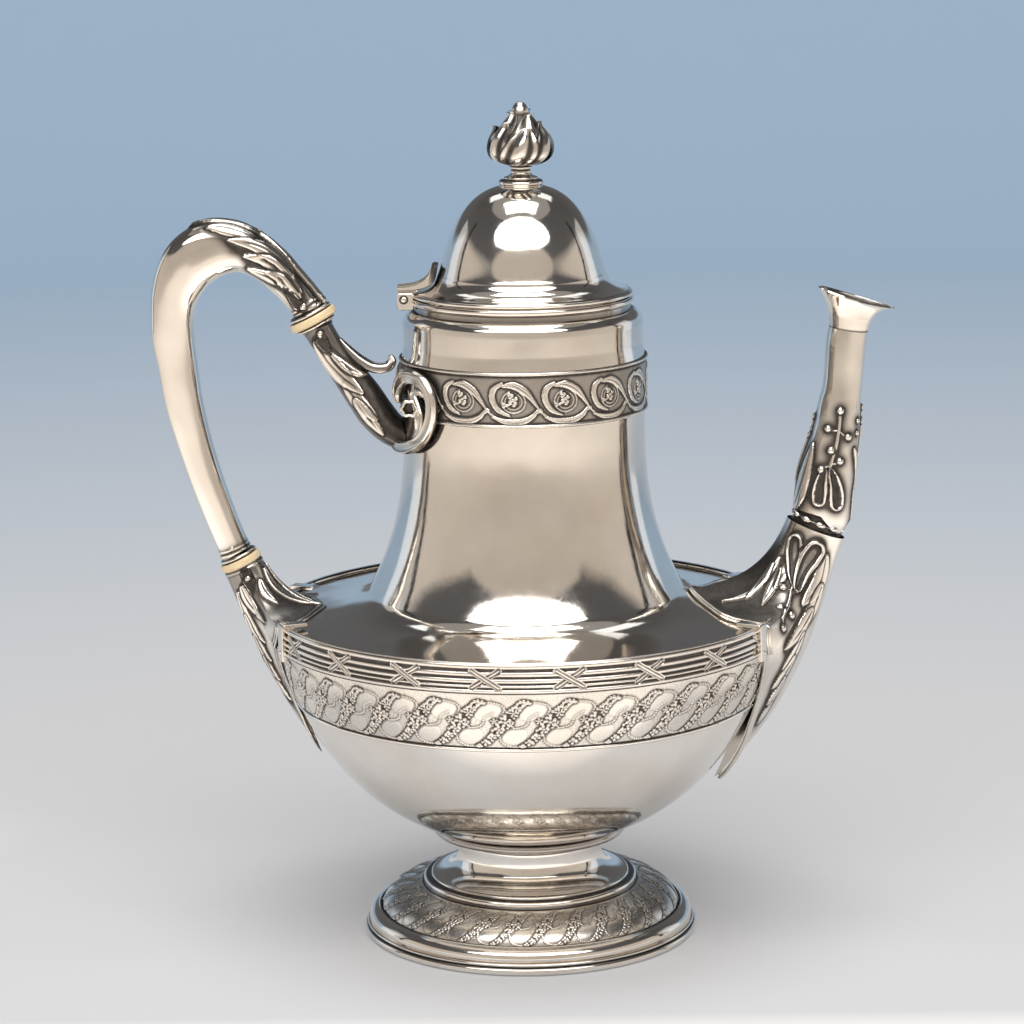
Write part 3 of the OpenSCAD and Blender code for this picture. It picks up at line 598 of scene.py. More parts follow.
def reeded_band():
    z = np.linspace(97.05, 106.6, 118)
    across = 96
    base = np.full(len(z), REED_R - 1.05)
    for size, centre in REEDS:
        base = np.maximum(base, REED_R - size + np.sqrt(np.clip(size ** 2 - (z - centre) ** 2, 0, None)))
    width = TAU * REED_R / TIES
    x = (np.arange(across) / across - 0.5)[:, None] * width
    tie = Relief(flat(x, z[None, :]))
    q = np.full(tie.h.shape, 9.0)
    for way in (1, -1):
        line = pts((-4.1, 101.75 - way * 2.6), (0, 101.75), (4.1, 101.75 + way * 2.6))
        near, _ = tie.near(line, 1.0)
        q = np.minimum(q, near)
        over = near < 1
        fluted = 0.18 * (0.5 + 0.5 * np.cos(TAU * near))
        level = 0.22 + 0.16 * (way < 0) + fluted
        tie.h = np.where(over, level, tie.h)
    strap = tie.h > 0
    r = np.where(strap, REED_R - 0.55 + tie.h, base[None, :])
    r = np.minimum(r, REED_R)
    dark = recess(r, width / across, 0.083, 0.5, 0.17, 0.1) * (z < 105.6)
    r, dark = np.tile(r, (TIES, 1)), np.tile(dark, (TIES, 1))
    a = (np.arange(len(r)) / len(r) * TAU - TAU / 4)[:, None]
    p = np.stack([r * np.cos(a), r * np.sin(a), z[None, :] + 0 * a], -1)
    surface("reeded_band", p, "cast", "pot", "reeded_band", patina_and_shade=dark, skirt=1.0, sharp=180)


def shoulder_and_neck():
    neck = joined(pts((NECK_R, NECK_BAND[0]), (NECK_R, NECK_BAND[1]), (NECK_TOP_R, 190.5)),
                  arc(NECK_TOP_R - 3.8, 198, 3.8, 0, 84, 20), pts((33.6, 201.85),))
    line = joined(pts((79.3, 100), (79.3, 104.7)), shoulder_line, flare_line, even(neck, 0.8))
    t = np.exp(-(np.hypot(line[:, 0] - 79.3, (line[:, 1] - 104.9)) / 0.8) ** 2)
    dark = np.maximum(t, np.exp(-((line[:, 1] - 201.9) / 0.25) ** 2))
    lathe("body_shoulder_neck", shell(line), "polished", "pot", "body_shoulder_neck", around=384,
          patina_and_shade=np.r_[dark, 0 * dark])


def vine_cell(r):
    """One scroll of the neck band's vine on a cell 16.2 mm wide and 16 mm high."""
    ground = np.random.default_rng(5).uniform(0, 0.05, r.h.shape)
    r.h = ground
    r.stroke(smooth(pts((-8.1, -3.6), (-5.4, -5.6), (-1.5, -6.4), (3.5, -6.0), (8.1, -3.6)), 24),
             0.35, 0.30)
    r.leaf(pts((-3.6, 5.6), (-6.2, 3.6), (-6.5, 0.2), (-4.6, -3.2), (-1.2, -5.0)),
           (0.5, 0.95, 0.95, 0.8, 0.3), 0.42, 0.3, 0.05, ribs=3)
    r.leaf(pts((-3.4, 4.8), (0.0, 5.0), (3.4, 3.0), (5.6, 0.4), (7.6, -2.6)),
           (0.4, 1.25, 1.2, 0.7, 0.3), 0.46, 0.45, 0.08, ribs=5)
    r.leaf(pts((-6.6, -5.4), (-2.6, -6.9), (2.2, -7.0), (5.6, -5.4), (7.2, -3.4)),
           (0.3, 0.9, 1.1, 0.8, 0.35), 0.44, 0.35, 0.06, ribs=5)
    ring = pts(*[(3.6 * math.cos(t), 3.6 * math.sin(t) - 0.4) for t in np.linspace(1.9, 7.3, 26)])
    r.stroke(ring, 0.24, 0.22)
    r.stroke(ring * 0.72, 0.18, 0.16)
    r.stroke(pts((-3.2, -1.9), (-1.6, -1.3), (-0.6, -0.8)), 0.42, 0.36)
    r.stroke(pts((-3.2, -0.9), (-2.2, -1.5)), 0.40, 0.32)
    for x, y in ((0, 0), (-0.9, 0.9), (0.7, -0.9), (-0.3, 1.5), (0.9, 0.5), (-0.8, -0.5), (0.3, -1.6),
                 (-1.2, 1.9)):
        r.bead((x - 0.2, y + 0.2), 0.68, 0.56)
    r.oval(8.1, -3.2, 1.0, 0.6, -35, 0.5)
    r.stroke(pts((8.6, -3.8), (9.8, -4.8)), 0.2, 0.3)


def neck_band():
    count, across = 15, 90
    low, high = NECK_BAND
    z = np.linspace(low, high, 104)
    inner = (z > low + 1.15) & (z < high - 1.15)
    x = (np.arange(across) / across * 16.2 - 8.1)[:, None]
    y = (z - (low + high) / 2)[None, :] * 16 / (high - low - 2.2)
    drawn = Relief(flat(x, y), 16.2)
    vine_cell(drawn)
    h = np.tile(drawn.h * 0.8, (count, 1)) * inner
    for centre in (low + 0.55, high - 0.55):
        h = np.maximum(h, np.sqrt(np.clip(0.55 ** 2 - (z - centre) ** 2, 0, None)) + 0.02)
    matt = 0.25 * (h < 0.07) * inner
    dark = np.clip(recess(h, 16.2 / across, 0.166, 0.5, 0.12) + matt, 0, 1)
    p = turned(np.c_[np.full(len(z), NECK_R + 0.45), z], across * count)
    p = np.roll(p, 40, 0)
    surface("neck_frieze_band", p, "chased", "pot", "neck_frieze_band", h, patina_and_shade=dark, skirt=0.5,
            sharp=180)


def rim_ring():
    line = joined(pts((RIM_INNER_R, RIM_TOP), (RIM_INNER_R, 201.75), (34.0, 201.75), (33.9, 203.3)),
                  arc(RIM_R - 1.05, RIM_TOP - 1.05, 1.05, -70, 90, 20))
    dark = np.exp(-((line[:, 1] - 202.4) / 0.7) ** 2)
    lathe("neck_rim_ring", line, "polished", "pot", "neck_rim_ring", patina_and_shade=dark, around=320)


# ---- lid and finial ---------------------------------------------------------------

def lid():
    line = joined(pts((RIM_INNER_R - 0.5, LID_Z),), arc(34.25, LID_Z + 0.65, 0.65, -90, 90, 14),
                  bezier((33.4, LID_Z + 1.6), (29.8, 208.1), (27.4, 209.4), (26.6, 212.5), 40),
                  bezier((26.6, 212.5), (23.6, 219.5), (21.5, LID_TOP), (1.5, LID_TOP), 90))
    dark = np.exp(-(np.hypot(line[:, 0] - 33.75, line[:, 1] - LID_Z - 1.45) / 0.35) ** 2)
    lathe("lid_dome", shell(line), "polished", "lid", "lid_dome", around=320,
          patina_and_shade=np.r_[dark, 0 * dark])
    bezel = pts((RIM_INNER_R - 0.5, LID_Z - 3.6), (RIM_INNER_R - 0.5, LID_Z), (RIM_INNER_R - 1.5, LID_Z),
                (RIM_INNER_R - 1.5, LID_Z - 3.6))
    lathe("lid_bezel", bezel, "polished", "lid", "lid_bezel", around=256)
    collar = joined(pts((1.5, LID_TOP - 0.7), (6.6, LID_TOP - 0.7)),
                    arc(6.2, LID_TOP + 0.35, 0.85, -60, 100, 14),
                    pts((5.6, LID_TOP + 1.25),), arc(5.0, LID_TOP + 1.75, 0.42, -60, 90, 10),
                    bezier((4.7, 243.3), (3.7, 243.5), (3.2, 243.9), (3.1, 244.7), 12), pts((1.5, 244.7),))
    shade = np.exp(-((collar[:, 1] - LID_TOP - 1.2) / 0.15) ** 2) * (collar[:, 0] > 4)
    lathe("finial_collar", collar, "polished", "lid", "finial_collar", around=96, patina_and_shade=shade)
    stem = joined(pts((1.5, 244.7), (3.1, 244.7), (2.95, 245.4)), arc(3.0, 246.0, 0.55, -80, 85, 12),
                  pts((3.0, 246.9), (1.5, 246.9)))
    lathe("finial_stem", stem, "polished", "lid", "finial_stem", around=96,
          patina_and_shade=np.exp(-((stem[:, 1] - 245.4) / 0.2) ** 2) + np.exp(-((stem[:, 1] - 246.8) / 0.25) ** 2))


BUD_OUTLINE = pts((3.2, 246.7), (5.2, 246.9), (8.2, 248.1), (9.9, 250.2), (10.1, 253.2), (9.1, 256.1),
                  (6.9, 258.8), (4.9, 261.2), (3.6, 263.2), (2.9, 265.0))


def bud_petal(azimuth, half_width, twist, low, high, curl, inset, ribs, n=30, m=44):
    """One petal: a fluted patch on the bud that twists as it climbs, its tip curled out."""
    t = np.linspace(0, 1, m)
    base = through(BUD_OUTLINE, low + (high - low) * t)
    s = np.linspace(-1, 1, n)[:, None]
    width = half_width * np.clip(np.sin(math.pi * (0.18 + 0.80 * t)), 0.02, 1) ** 0.75
    a = np.radians(azimuth + twist * t)[None, :] + np.radians(width)[None, :] * s
    flute = 0.38 * np.cos(math.pi * ribs * s) * np.clip(np.sin(math.pi * t) * 1.6, 0, 1)[None, :]
    crown = 0.75 * (1 - s ** 2) - 0.15
    tip = curl * np.clip((t - 0.80) / 0.20, 0, 1) ** 1.6
    r = base[None, :, 0] - inset + flute + crown * (0.4 + 0.6 * t[None, :]) + tip[None, :]
    z = base[None, :, 1] - 0.35 * tip[None, :] * np.clip((t - 0.9) / 0.1, 0, 1)[None, :] + 0 * s
    outer = np.stack([r * np.cos(a), r * np.sin(a), z], -1)
    thick = 0.55
    inner = outer.copy()
    inner[..., 0] -= thick * np.cos(a)
    inner[..., 1] -= thick * np.sin(a)
    inner[..., 2] -= 0.1
    v = np.vstack([outer.reshape(-1, 3), inner.reshape(-1, 3)])
    quads = grid_quads(n, m)
    size = n * m
    faces = quads.tolist() + (quads[:, ::-1] + size).tolist()
    rim = ([(k, k + 1) for k in range(m - 1)]
           + [(k * m + m - 1, (k + 1) * m + m - 1) for k in range(n - 1)]
           + [((n - 1) * m + k + 1, (n - 1) * m + k) for k in range(m - 2, -1, -1)]
           + [((k + 1) * m, k * m) for k in range(n - 2, -1, -1)])
    faces += [[end, start, start + size, end + size] for start, end in rim]
    hollow = np.clip((-0.1 - flute) / 0.24, 0, 1) * 0.9 + np.clip((np.abs(s) - 0.88) / 0.08, 0, 1)
    hollow = np.clip(hollow, 0, 1)
    shade = np.r_[(hollow + 0 * t[None, :]).ravel(), np.ones(size)]
    return (v, faces), shade


def finial_bud():
    parts, shades = [], []
    for k in range(6):
        part, shade = bud_petal(60 * k + 8, 37, 38, 0.2, 6.3 + 0.7 * (k % 2), 2.1, 0.55 * (k % 2), 2)
        parts.append(part)
        shades.append(shade)
    for k in range(4):
        part, shade = bud_petal(90 * k + 20, 44, 30, 4.2, 8.75 - 0.5 * (k % 2), 2.6, 0.8, 2)
        parts.append(part)
        shades.append(shade)
    v, faces = merged(parts)
    make("finial_bud", v, faces, "cast", "lid", "finial_bud", np.concatenate(shades), 60)
    core = joined(pts((1.5, 246.9),), bezier((3.1, 246.9), (9.6, 247.2), (10.8, 254.0), (7.0, 257.8), 20),
                  bezier((7.0, 257.8), (4.2, 260.0), (3.1, 261.5), (2.9, 262.8), 12),
                  bezier((2.9, 262.8), (2.6, 265.2), (1.2, 266.5), (0.01, 266.5), 12))
    lathe("finial_bud_core", core, "cast", "lid", around=64,
          patina_and_shade=np.clip((263.2 - core[:, 1]) / 0.8, 0, 1))


# ---- swept pieces: stations are (x, z, half depth, half width) ---------------------

def headings(line):
    t = np.gradient(line[:, :2], axis=0)
    return t / np.linalg.norm(t, axis=1)[:, None]


def sweep(stations, step, around, squarer=1.0, grow=0.0):
    """Grid [u, v] round a tube whose sections follow the stations. u starts on the
    left of the way it runs and goes towards +Y."""
    line = even(smooth(stations, 400), step)
    t = headings(line)
    u = np.linspace(0, TAU, around, endpoint=False)[:, None]
    cos, sin = np.cos(u), np.sin(u)
    d = (line[None, :, 2] + grow) * np.sign(cos) * np.abs(cos) ** (1 / squarer)
    w = (line[None, :, 3] + grow) * np.sign(sin) * np.abs(sin) ** (1 / squarer)
    return np.stack([line[None, :, 0] - t[None, :, 1] * d, w, line[None, :, 1] + t[None, :, 0] * d], -1)


def on(grid, *places):
    """The points of a grid's near (-Y) side that lie at these (x, z) places."""
    p = grid.reshape(-1, 3)
    p = p[p[:, 1] <= 0.01]
    return np.array([p[np.argmin((p[:, 0] - x) ** 2 + (p[:, 2] - z) ** 2)] for x, z in places])


def both_sides(grid):
    """The grid folded on to its near side, so that ornament drawn there shows on both."""
    return grid * [1, 0, 1] - np.abs(grid) * [0, 1, 0]


def grid_steps(grid):
    u = np.linalg.norm(np.diff(grid, axis=0), axis=-1).mean()
    v = np.linalg.norm(np.diff(grid, axis=1), axis=-1).mean()
    return u, v


# ---- seats of the spout and the lower socket ----------------------------------------

seat_line = joined(shoulder_line[::-1], pts((81.1, 105.3), (81.1, 97.0)),
                   bowl_line[(bowl_line[:, 1] < 96.9) & (bowl_line[:, 1] > 42)][::-1] + [0.55, 0])
seat_length = np.r_[0, np.cumsum(np.linalg.norm(np.diff(seat_line, axis=0), axis=1))]


# direction a seat faces at each distance down the outline, in degrees above level
OUT_AT = (0, 2, 4, 6, 9, 13, 20, 27, 33, 40, 95)
OUT_DEG = (30, 45, 58, 67, 75, 81, 86, 88, 0, 0, -38)


def seat(s, w, lift=0.0):
    """Point at distance s down the body's outline and w round it, raised by lift."""
    up = np.radians(np.interp(s, OUT_AT, OUT_DEG))
    off = lift + np.interp(s, [0, 58, 70, 95], [0, 0, 0.8, 4.4])
    r = np.interp(s, seat_length, seat_line[:, 0]) + off * np.cos(up)
    a = w / r
    return np.stack([r * np.cos(a), r * np.sin(a),
                     np.interp(s, seat_length, seat_line[:, 1]) + off * np.sin(up)], -1)


def horn(stations, top, tilt, rx, ry, reach, pull, swell, around, steps):
    """Grid [u, v] of a skirt from a tilted ring at the top to its outline on the body.
    u starts at the tail and v at the ring."""
    n = len(stations) - 1
    u = np.linspace(0, TAU, around, endpoint=False)[:, None]
    number = n * np.abs(1 - u[:, 0] / math.pi)
    half = through(stations, number)
    side = np.where(u[:, 0] <= math.pi, 1, -1)
    foot_at = seat(half[:, 0], side * np.maximum(half[:, 1], 0))[:, None]
    cos, sin = np.cos(u)[..., None], np.sin(u)[..., None]
    tilt = math.radians(tilt)
    top = np.asarray(top, float)
    lip = top + rx * cos * [math.cos(tilt), 0, math.sin(tilt)] + ry * sin * [0, 1, 0]
    down = np.array([math.sin(tilt), 0, -math.cos(tilt)])
    out = swell[0] + swell[1] * np.maximum(cos, 0) + swell[2] * np.maximum(-cos, 0)
    up = np.maximum(-cos, 0)
    near = foot_at + pull * (np.array([top[0] - 4, 0, 106]) - foot_at) + out * np.concatenate(
        [1 - up, 0 * up, up], -1)
    far = lip + reach * down
    t = np.linspace(0, 1, steps + 1)[None, :, None]
    return ((1 - t) ** 3 * lip + 3 * (1 - t) ** 2 * t * far + 3 * (1 - t) * t ** 2 * near
            + t ** 3 * foot_at)


SPOUT_SEAT = pts((2.2, 0), (4.5, 4.5), (8, 9.5), (12, 15.5), (17, 23), (23, 29), (30, 33), (37, 34),
                 (44, 30.5), (54, 26), (64, 21.5), (76, 14), (88, 6), (95, 0))
SPOUT_TOP, SPOUT_TILT = (92.4, 0, 130.3), -21
SOCKET_SEAT = pts((15.5, 0), (16.5, 4), (18.5, 9), (21, 14.5), (25, 20), (30, 24.5), (36, 23),
                  (42, 16.5), (48, 11.5), (55, 8.5), (62, 6), (70, 4), (78, 2.5), (83, 0))
UPPER_DISC, LOWER_DISC = np.array([-66.0, 199.3]), np.array([-90.9, 121.8])
UPPER_DIR = np.array([-0.45, 0.893]) / np.hypot(0.45, 0.893)
LOWER_DIR = np.array([-0.424, 0.906]) / np.hypot(0.424, 0.906)
DISC_T, FERRULE_T = 2.8, 1.4
END_GAP = DISC_T / 2 + FERRULE_T


def spout_base_grid(around=560, steps=330):
    return horn(SPOUT_SEAT, SPOUT_TOP, SPOUT_TILT, 9.7, 9.0, 17, 0.42, (3, 12.5, 0.8), around, steps)


def lower_socket_grid(around=420, steps=240):
    top = LOWER_DISC - DISC_T / 2 * LOWER_DIR
    grid = horn(SOCKET_SEAT, (-top[0], 0, top[1]), -25, 6.4, 6.2, 8, 0.5, (1.5, 6, 0.8), around, steps)
    return grid[::-1] * [-1, 1, 1]


def station(disc, way, distance, a, b):
    return [*(disc + distance * way), a, b]


GRIP = np.array([
    station(UPPER_DISC, UPPER_DIR, END_GAP, 5.0, 5.0),
    station(UPPER_DISC, UPPER_DIR, END_GAP + 1.5, 4.9, 4.9),
    [-70.2, 206.3, 4.9, 4.8], [-74.2, 210.9, 5.1, 4.9], [-79.2, 216.1, 5.7, 5.3],
    [-84.4, 219.8, 6.4, 6.0], [-90.5, 221.9, 7.7, 6.8], [-97.7, 221.3, 8.9, 7.6],
    [-103.2, 218.2, 9.0, 7.9], [-106.8, 213.2, 8.4, 7.6], [-109.2, 207.2, 7.4, 7.1],
    [-110.1, 201.3, 6.8, 6.7], [-110.2, 194.2, 6.7, 6.4], [-109.1, 185.6, 6.3, 6.0],
    [-107.4, 173.1, 6.0, 5.7], [-104.5, 160.6, 5.5, 5.3], [-100.8, 147.9, 5.2, 5.1],
    [-96.4, 135.1, 5.0, 5.0],
    station(LOWER_DISC, LOWER_DIR, END_GAP + 1.5, 4.9, 4.9),
    station(LOWER_DISC, LOWER_DIR, END_GAP, 4.9, 4.9)])
UPPER_SOCKET = np.array([
    station(UPPER_DISC, UPPER_DIR, -END_GAP, 5.2, 5.2),
    station(UPPER_DISC, UPPER_DIR, -END_GAP - 1.5, 4.7, 4.8),
    [-59.8, 188.1, 4.6, 5.0], [-55.0, 181.1, 5.1, 6.0], [-50.6, 174.8, 5.6, 7.2],
    [-46.8, 169.0, 5.6, 8.4], [-42.4, 164.2, 5.0, 9.4], [-37.2, 161.0, 4.2, 10.0]])
COLLAR_H = 4.4
UP_SPOUT = np.array([-math.sin(math.radians(SPOUT_TILT)), math.cos(math.radians(SPOUT_TILT))])
TUBE_START = np.array([SPOUT_TOP[0], SPOUT_TOP[2]]) + COLLAR_H * UP_SPOUT
SPOUT_TUBE = np.array([
    [*TUBE_START, 8.9, 8.6], [*(TUBE_START + 1.5 * UP_SPOUT), 8.9, 8.7], [95.2, 144, 9.0, 9.2],
    [96.1, 150, 8.8, 9.0], [98.4, 160, 7.6, 8.0], [99.7, 169.6, 6.8, 7.1], [100.7, 176, 6.2, 6.6],
    [101.7, 188.8, 6.3, 6.3], [102.4, 193.8, 6.2, 6.2]])


# ---- spout ----------------------------------------------------------------------------

def aligned(grid, centre, way):
    """A grid turned about the Z axis, stood on a centre (x, z) along a way in the XZ plane."""
    x, y, z = grid[..., 0], grid[..., 1], grid[..., 2]
    return np.stack([centre[0] + x * way[1] + z * way[0], y, centre[1] - x * way[0] + z * way[1]], -1)


def flow(drawn, grid, leaves, height, ribs=0, groove=0.3):
    """Long leaves laid one over another: each is its (x, z) places and its half width."""
    for k, (places, half) in enumerate(leaves):
        line = on(grid, *places)
        drawn.leaf(line, (0.45 * half, 0.8 * half, half, 0.95 * half, 0.62 * half, 0.12 * half),
                   height, groove, 0.1 * (k % 3), ribs, 0.5)


def spray(drawn, grid, stem, berries, r=1.0):
    drawn.stroke(smooth(on(grid, *stem), 24), 0.5, 0.75)
    places = on(grid, *berries)
    line = on(grid, *stem)
    for berry in places:
        near = line[np.argmin(np.linalg.norm(line - berry, axis=1))]
        drawn.stroke([near, (near + berry) / 2 + [0, 0, -0.4], berry], 0.3, 0.45)
    for berry in places:
        drawn.bead(berry, r, 1.0, 0.28)
        drawn.bead(berry + [0.1, 0, 0.12], 0.32 * r, 1.2)


def loop(drawn, grid, low, high, half, height, turn=0.0):
    """A looped ribbon edge round a sunk pod, from its narrow end (low) to its round one."""
    a, b = on(grid, low, high)
    side = np.cross(b - a, [0, 1, 0])
    line = smooth([a, (a + b) / 2 + side * turn, b], 20)
    wide = np.interp(np.linspace(0, 1, 20), [0, 0.3, 0.75, 1], [0.25, 0.66, 1, 0.9]) * half
    q, _ = drawn.near(line, wide)
    rim = height * np.exp(-((q - 0.82) / 0.23) ** 4)
    drawn.h = np.where(q < 1.25, np.maximum(rim, np.where(q < 0.84, -0.1, 0.5 * drawn.h)), drawn.h)
    drawn.outline(q / 1.12, half, OUTLINE)
    drawn.dark = np.maximum(drawn.dark, np.where(q < 0.62, np.maximum(0.3, 1 - (0.62 - q) / 0.12), 0))


def darkened(h, step_u, step_v, floor=0.0):
    """Patina of cast work: broad shade in the hollows and a thin dark line by each edge."""
    return np.maximum(recess(h, step_u, step_v, 1.2, 0.19, floor),
                      recess(h, step_u, step_v, 0.5, 0.07, floor))


def dressed(name, grid, draw, look, nodes, scale=1.0, caps=(), shade_more=None):
    """A piece with relief drawn on its near side and repeated on its far side."""
    drawn = Relief(both_sides(grid))
    draw(drawn, grid)
    step_u, step_v = grid_steps(grid)
    h = blur(drawn.h * scale, step_u, step_v, 0.11)
    shade = np.maximum(darkened(h, step_u, step_v), drawn.dark)
    if shade_more is not None:
        shade = np.maximum(shade, shade_more(grid) * np.clip(1 - h / 0.35, 0, 1))
    surface(name, grid, look, "pot", nodes, h, out=-1, patina_and_shade=shade, sharp=50, caps=caps)


def tube_ornament(r, g):
    flow(r, g, [([(84.6, 134.5), (86.6, 141), (88.6, 149), (91.2, 158.2)], 2.9),
                ([(103.4, 133.5), (106.0, 140), (106.2, 147), (103.8, 156.4)], 2.9)], 0.6, 0, 0.2)
    for q in ((90.6, 162.2), (91.2, 166.0), (104.8, 161.4), (105.0, 165.2)):
        r.bead(on(g, q)[0], 0.9, 0.9)
    loop(r, g, (94.4, 150.6), (92.6, 140.6), 2.3, 1.0, -0.04)
    loop(r, g, (96.4, 150.4), (98.2, 139.2), 2.4, 1.0, 0.04)
    spray(r, g, [(95.4, 143), (95.0, 147.1), (96.4, 152.4), (98.0, 158.0), (98.8, 162.7), (99.4, 168.9)],
          [(99.4, 168.9), (95.5, 163.2), (101.9, 160.4), (96.3, 156.3), (99.2, 152.9),
           (93.1, 150.4)], 1.15)
    for x in (80, 120):
        spray(r, g, [(x, 146), (x, 153), (x, 160), (x, 168.6)], [(x, 168.6), (x, 163.8)], 1.05)
    r.h *= np.clip(np.linalg.norm(g - g[:, :1], axis=-1) / 1.5 - 0.2, 0, 1)


def spout_tube():
    grid = sweep(SPOUT_TUBE, 0.25, 240)
    dressed("spout_tube", grid, tube_ornament, "cast", "spout_tube", 0.9)


def base_ornament(r, g):
    flow(r, g, [([(80.5, 121.5), (76.4, 115.5), (70.0, 110.6), (62.0, 108.4)], 1.5),
                ([(78.6, 119.5), (74.6, 114.0), (69.4, 109.6)], 1.7),
                ([(80.4, 118.5), (77.6, 113.2), (74.0, 108.8)], 1.7),
                ([(83.2, 120.6), (81.4, 117.0), (78.4, 112.6)], 1.7)], 1.15, 0, 0.1)
    flow(r, g, [([(94.6, 122), (92.4, 114), (86.8, 108.2)], 3.0),
                ([(93.0, 113), (90.0, 106), (85.4, 100.6)], 2.9),
                ([(89.6, 106), (86.0, 100.6), (80.8, 95.8)], 2.7),
                ([(86.8, 99), (84.0, 93.2), (80.2, 88.2)], 2.3),
                ([(83.8, 92), (80.8, 86.8), (77.0, 82.5)], 2.0),
                ([(80.8, 85.4), (78.2, 80.6), (75.4, 76.6)], 1.7),
                ([(77.6, 78.6), (75.2, 74.0), (72.8, 69.8)], 1.4)], 0.75, 0, 0.2)
    loop(r, g, (84.3, 114.4), (85.2, 127.2), 2.7, 1.15, 0.04)
    loop(r, g, (85.2, 113.0), (91.4, 124.6), 3.4, 1.15, 0.06)
    spray(r, g, [(84.4, 114.8), (83.5, 113.0), (82.3, 109.8), (79.9, 106.1)],
          [(81.0, 113.8), (79.7, 108.8), (83.2, 106.2), (80.2, 103.1)], 1.25)


def saddle_shade(grid):
    """The saddle under the spout's neck is darkened between its ridges."""
    near = np.clip((84 - grid[..., 0]) / 7, 0, 1) * np.clip((grid[..., 2] - 104.5) / 3, 0, 1)
    return 0.85 * near


def spout_base():
    grid = spout_base_grid()
    dressed("spout_base", grid, base_ornament, "cast", "spout_base", 0.95, shade_more=saddle_shade)


def eave_line(shift):
    """The outline of the spout's seat, from tail to tail round the tip."""
    half = smooth(SPOUT_SEAT, 200)
    half = half[half[:, 0] < 93.5]
    near = np.c_[half[::-1, 0], -half[::-1, 1] - shift]
    far = np.c_[half[:, 0], half[:, 1] + shift]
    near[-1, 0] -= shift
    return even(np.vstack([near[:-3], far[3:]]), 0.5)


def spout_eave_moulding():
    parts = []
    for shift, lift, r in ((0.35, 1.25, 0.62), (1.35, 0.85, 0.5)):
        line = eave_line(shift)
        parts.append(tube(even(seat(line[:, 0], line[:, 1], lift), 0.45), r, 10))
    verts, faces = merged(parts)
    make("spout_eave_moulding", verts, faces, "cast", "pot", "spout_eave_moulding", sharp=60)


def strap_piece(name, angle, centre_angle, nodes):
    """A pair of flat straps bent over the reeded band, each with a domed rivet."""
    r0, r1, half = 81.15, 82.25, 2.4
    side = joined(pts((r1 - 0.35, 95.6)), arc(r1 - 0.3, 95.95, 0.3, -90, 0, 4)[1:],
                  arc(r1 - 0.9, 106.65, 0.9, 0, 90, 8), pts((74.2, 107.55)),
                  arc(74.1, 107.1, 0.5, 90, 250, 8), pts((r0 - 0.6, 106.6)),
                  arc(r0 - 0.5, 106.1, 0.5, 90, 0, 4), pts((r0, 95.6)))
    parts = []
    for sign in (-1, 1):
        across = np.array([-half, -half + 0.25, *np.linspace(-half + 0.6, half - 0.6, 8),
                           half - 0.25, half])
        inset = np.array([0.25, 0.04, *[0] * 8, 0.04, 0.25])
        middle = side.mean(0)
        rings = []
        for w, pull in zip(across, inset):
            line = side + (middle - side) / np.linalg.norm(middle - side, axis=1)[:, None] * pull
            a = math.radians(centre_angle + sign * angle) + w / r1
            rings.append(np.c_[line[:, 0] * math.cos(a), line[:, 0] * math.sin(a), line[:, 1]])
        n = len(side)
        faces = grid_quads(len(rings), n, False, True).tolist()
        faces.append(list(range(n)))
        faces.append([(len(rings) - 1) * n + k for k in range(n)][::-1])
        parts.append((np.vstack(rings), faces))
        a = math.radians(centre_angle + sign * angle)
        v, f = ball((0, 0, 0), (0.75, 0.75, 0.45), 12)
        x, y, z = v[:, 2] + r1 - 0.05, v[:, 0], v[:, 1] + 98.4
        parts.append((np.c_[x * math.cos(a) - y * math.sin(a), x * math.sin(a) + y * math.cos(a), z], f))
    verts, faces = merged(parts)
    make(name, verts, faces, "cast", "pot", nodes, sharp=45)


def spout_collar():
    """Oval beads strung round a dark channel between the spout's two castings."""
    r, around = 8.5, 480
    profile = even(pts((7.1, 0.05), (8.5, 0.05), (8.5, 0.25), (7.6, 0.5), (7.6, 3.9), (8.3, 4.15),
                       (8.3, 4.35), (7.1, 4.35)), 0.09)
    grid = turned(profile, around)
    a = np.linspace(0, TAU * r, around, endpoint=False)
    z = profile[:, 1]
    band = Relief(flat(a[:, None], z[None, :]), TAU * r)
    for part in (0.0, 0.25, 0.5, 0.75):
        band.stroke(np.array([[part, 2.25], [part + 0.25, 2.25]]) * [TAU * r, 1], 0.3, 0.5)
    for k in range(10):
        band.oval((k + 0.5) * TAU * r / 10, 2.25, 2.0, 1.2, 0, 1.6)
    h = band.h * (profile[:, 0] > 7.5)
    shade = np.clip(1.3 - h / 0.45, 0, 1)
    p = aligned(grid + normals(grid, True) * h[..., None], (SPOUT_TOP[0], SPOUT_TOP[2]), UP_SPOUT)
    make("spout_collar", p.reshape(-1, 3), grid_quads(around, len(profile), True, True), "cast", "pot",
         "spout_collar", shade, 50)


LIP = pts((102.45, 193.9, 6.2, 6.2, -8), (102.75, 195.6, 6.5, 6.4, -8), (103.1, 198.2, 7.1, 6.7, -9),
          (103.6, 200.8, 8.6, 7.1, -12), (104.2, 202.8, 10.8, 7.5, -15.5),
          (104.9, 203.6, 12.6, 7.8, -16.7))


def lip_grid(rows, around, grow=0.0):
    line = smooth(LIP, rows)
    u = np.linspace(0, TAU, around, endpoint=False)[:, None]
    t = np.radians(line[None, :, 4])
    beak = np.clip(np.linspace(-0.6, 1, rows), 0, 1)[None, :]
    depth = (line[None, :, 2] + grow) * np.cos(u)
    width = (line[None, :, 3] + grow) * np.sin(u) * (1 + 0.26 * beak * np.cos(u)
                                                      * np.where(np.cos(u) > 0, 0.6, 1.0)
                                                      - 0.3 * beak * np.clip(-np.cos(u), 0, 1) ** 2)
    dip = 0.9 * beak * (1 - np.cos(2 * u)) / 2
    return np.stack([line[None, :, 0] - np.cos(t) * depth, width,
                     line[None, :, 1] - np.sin(t) * depth - dip * 0.4], -1)


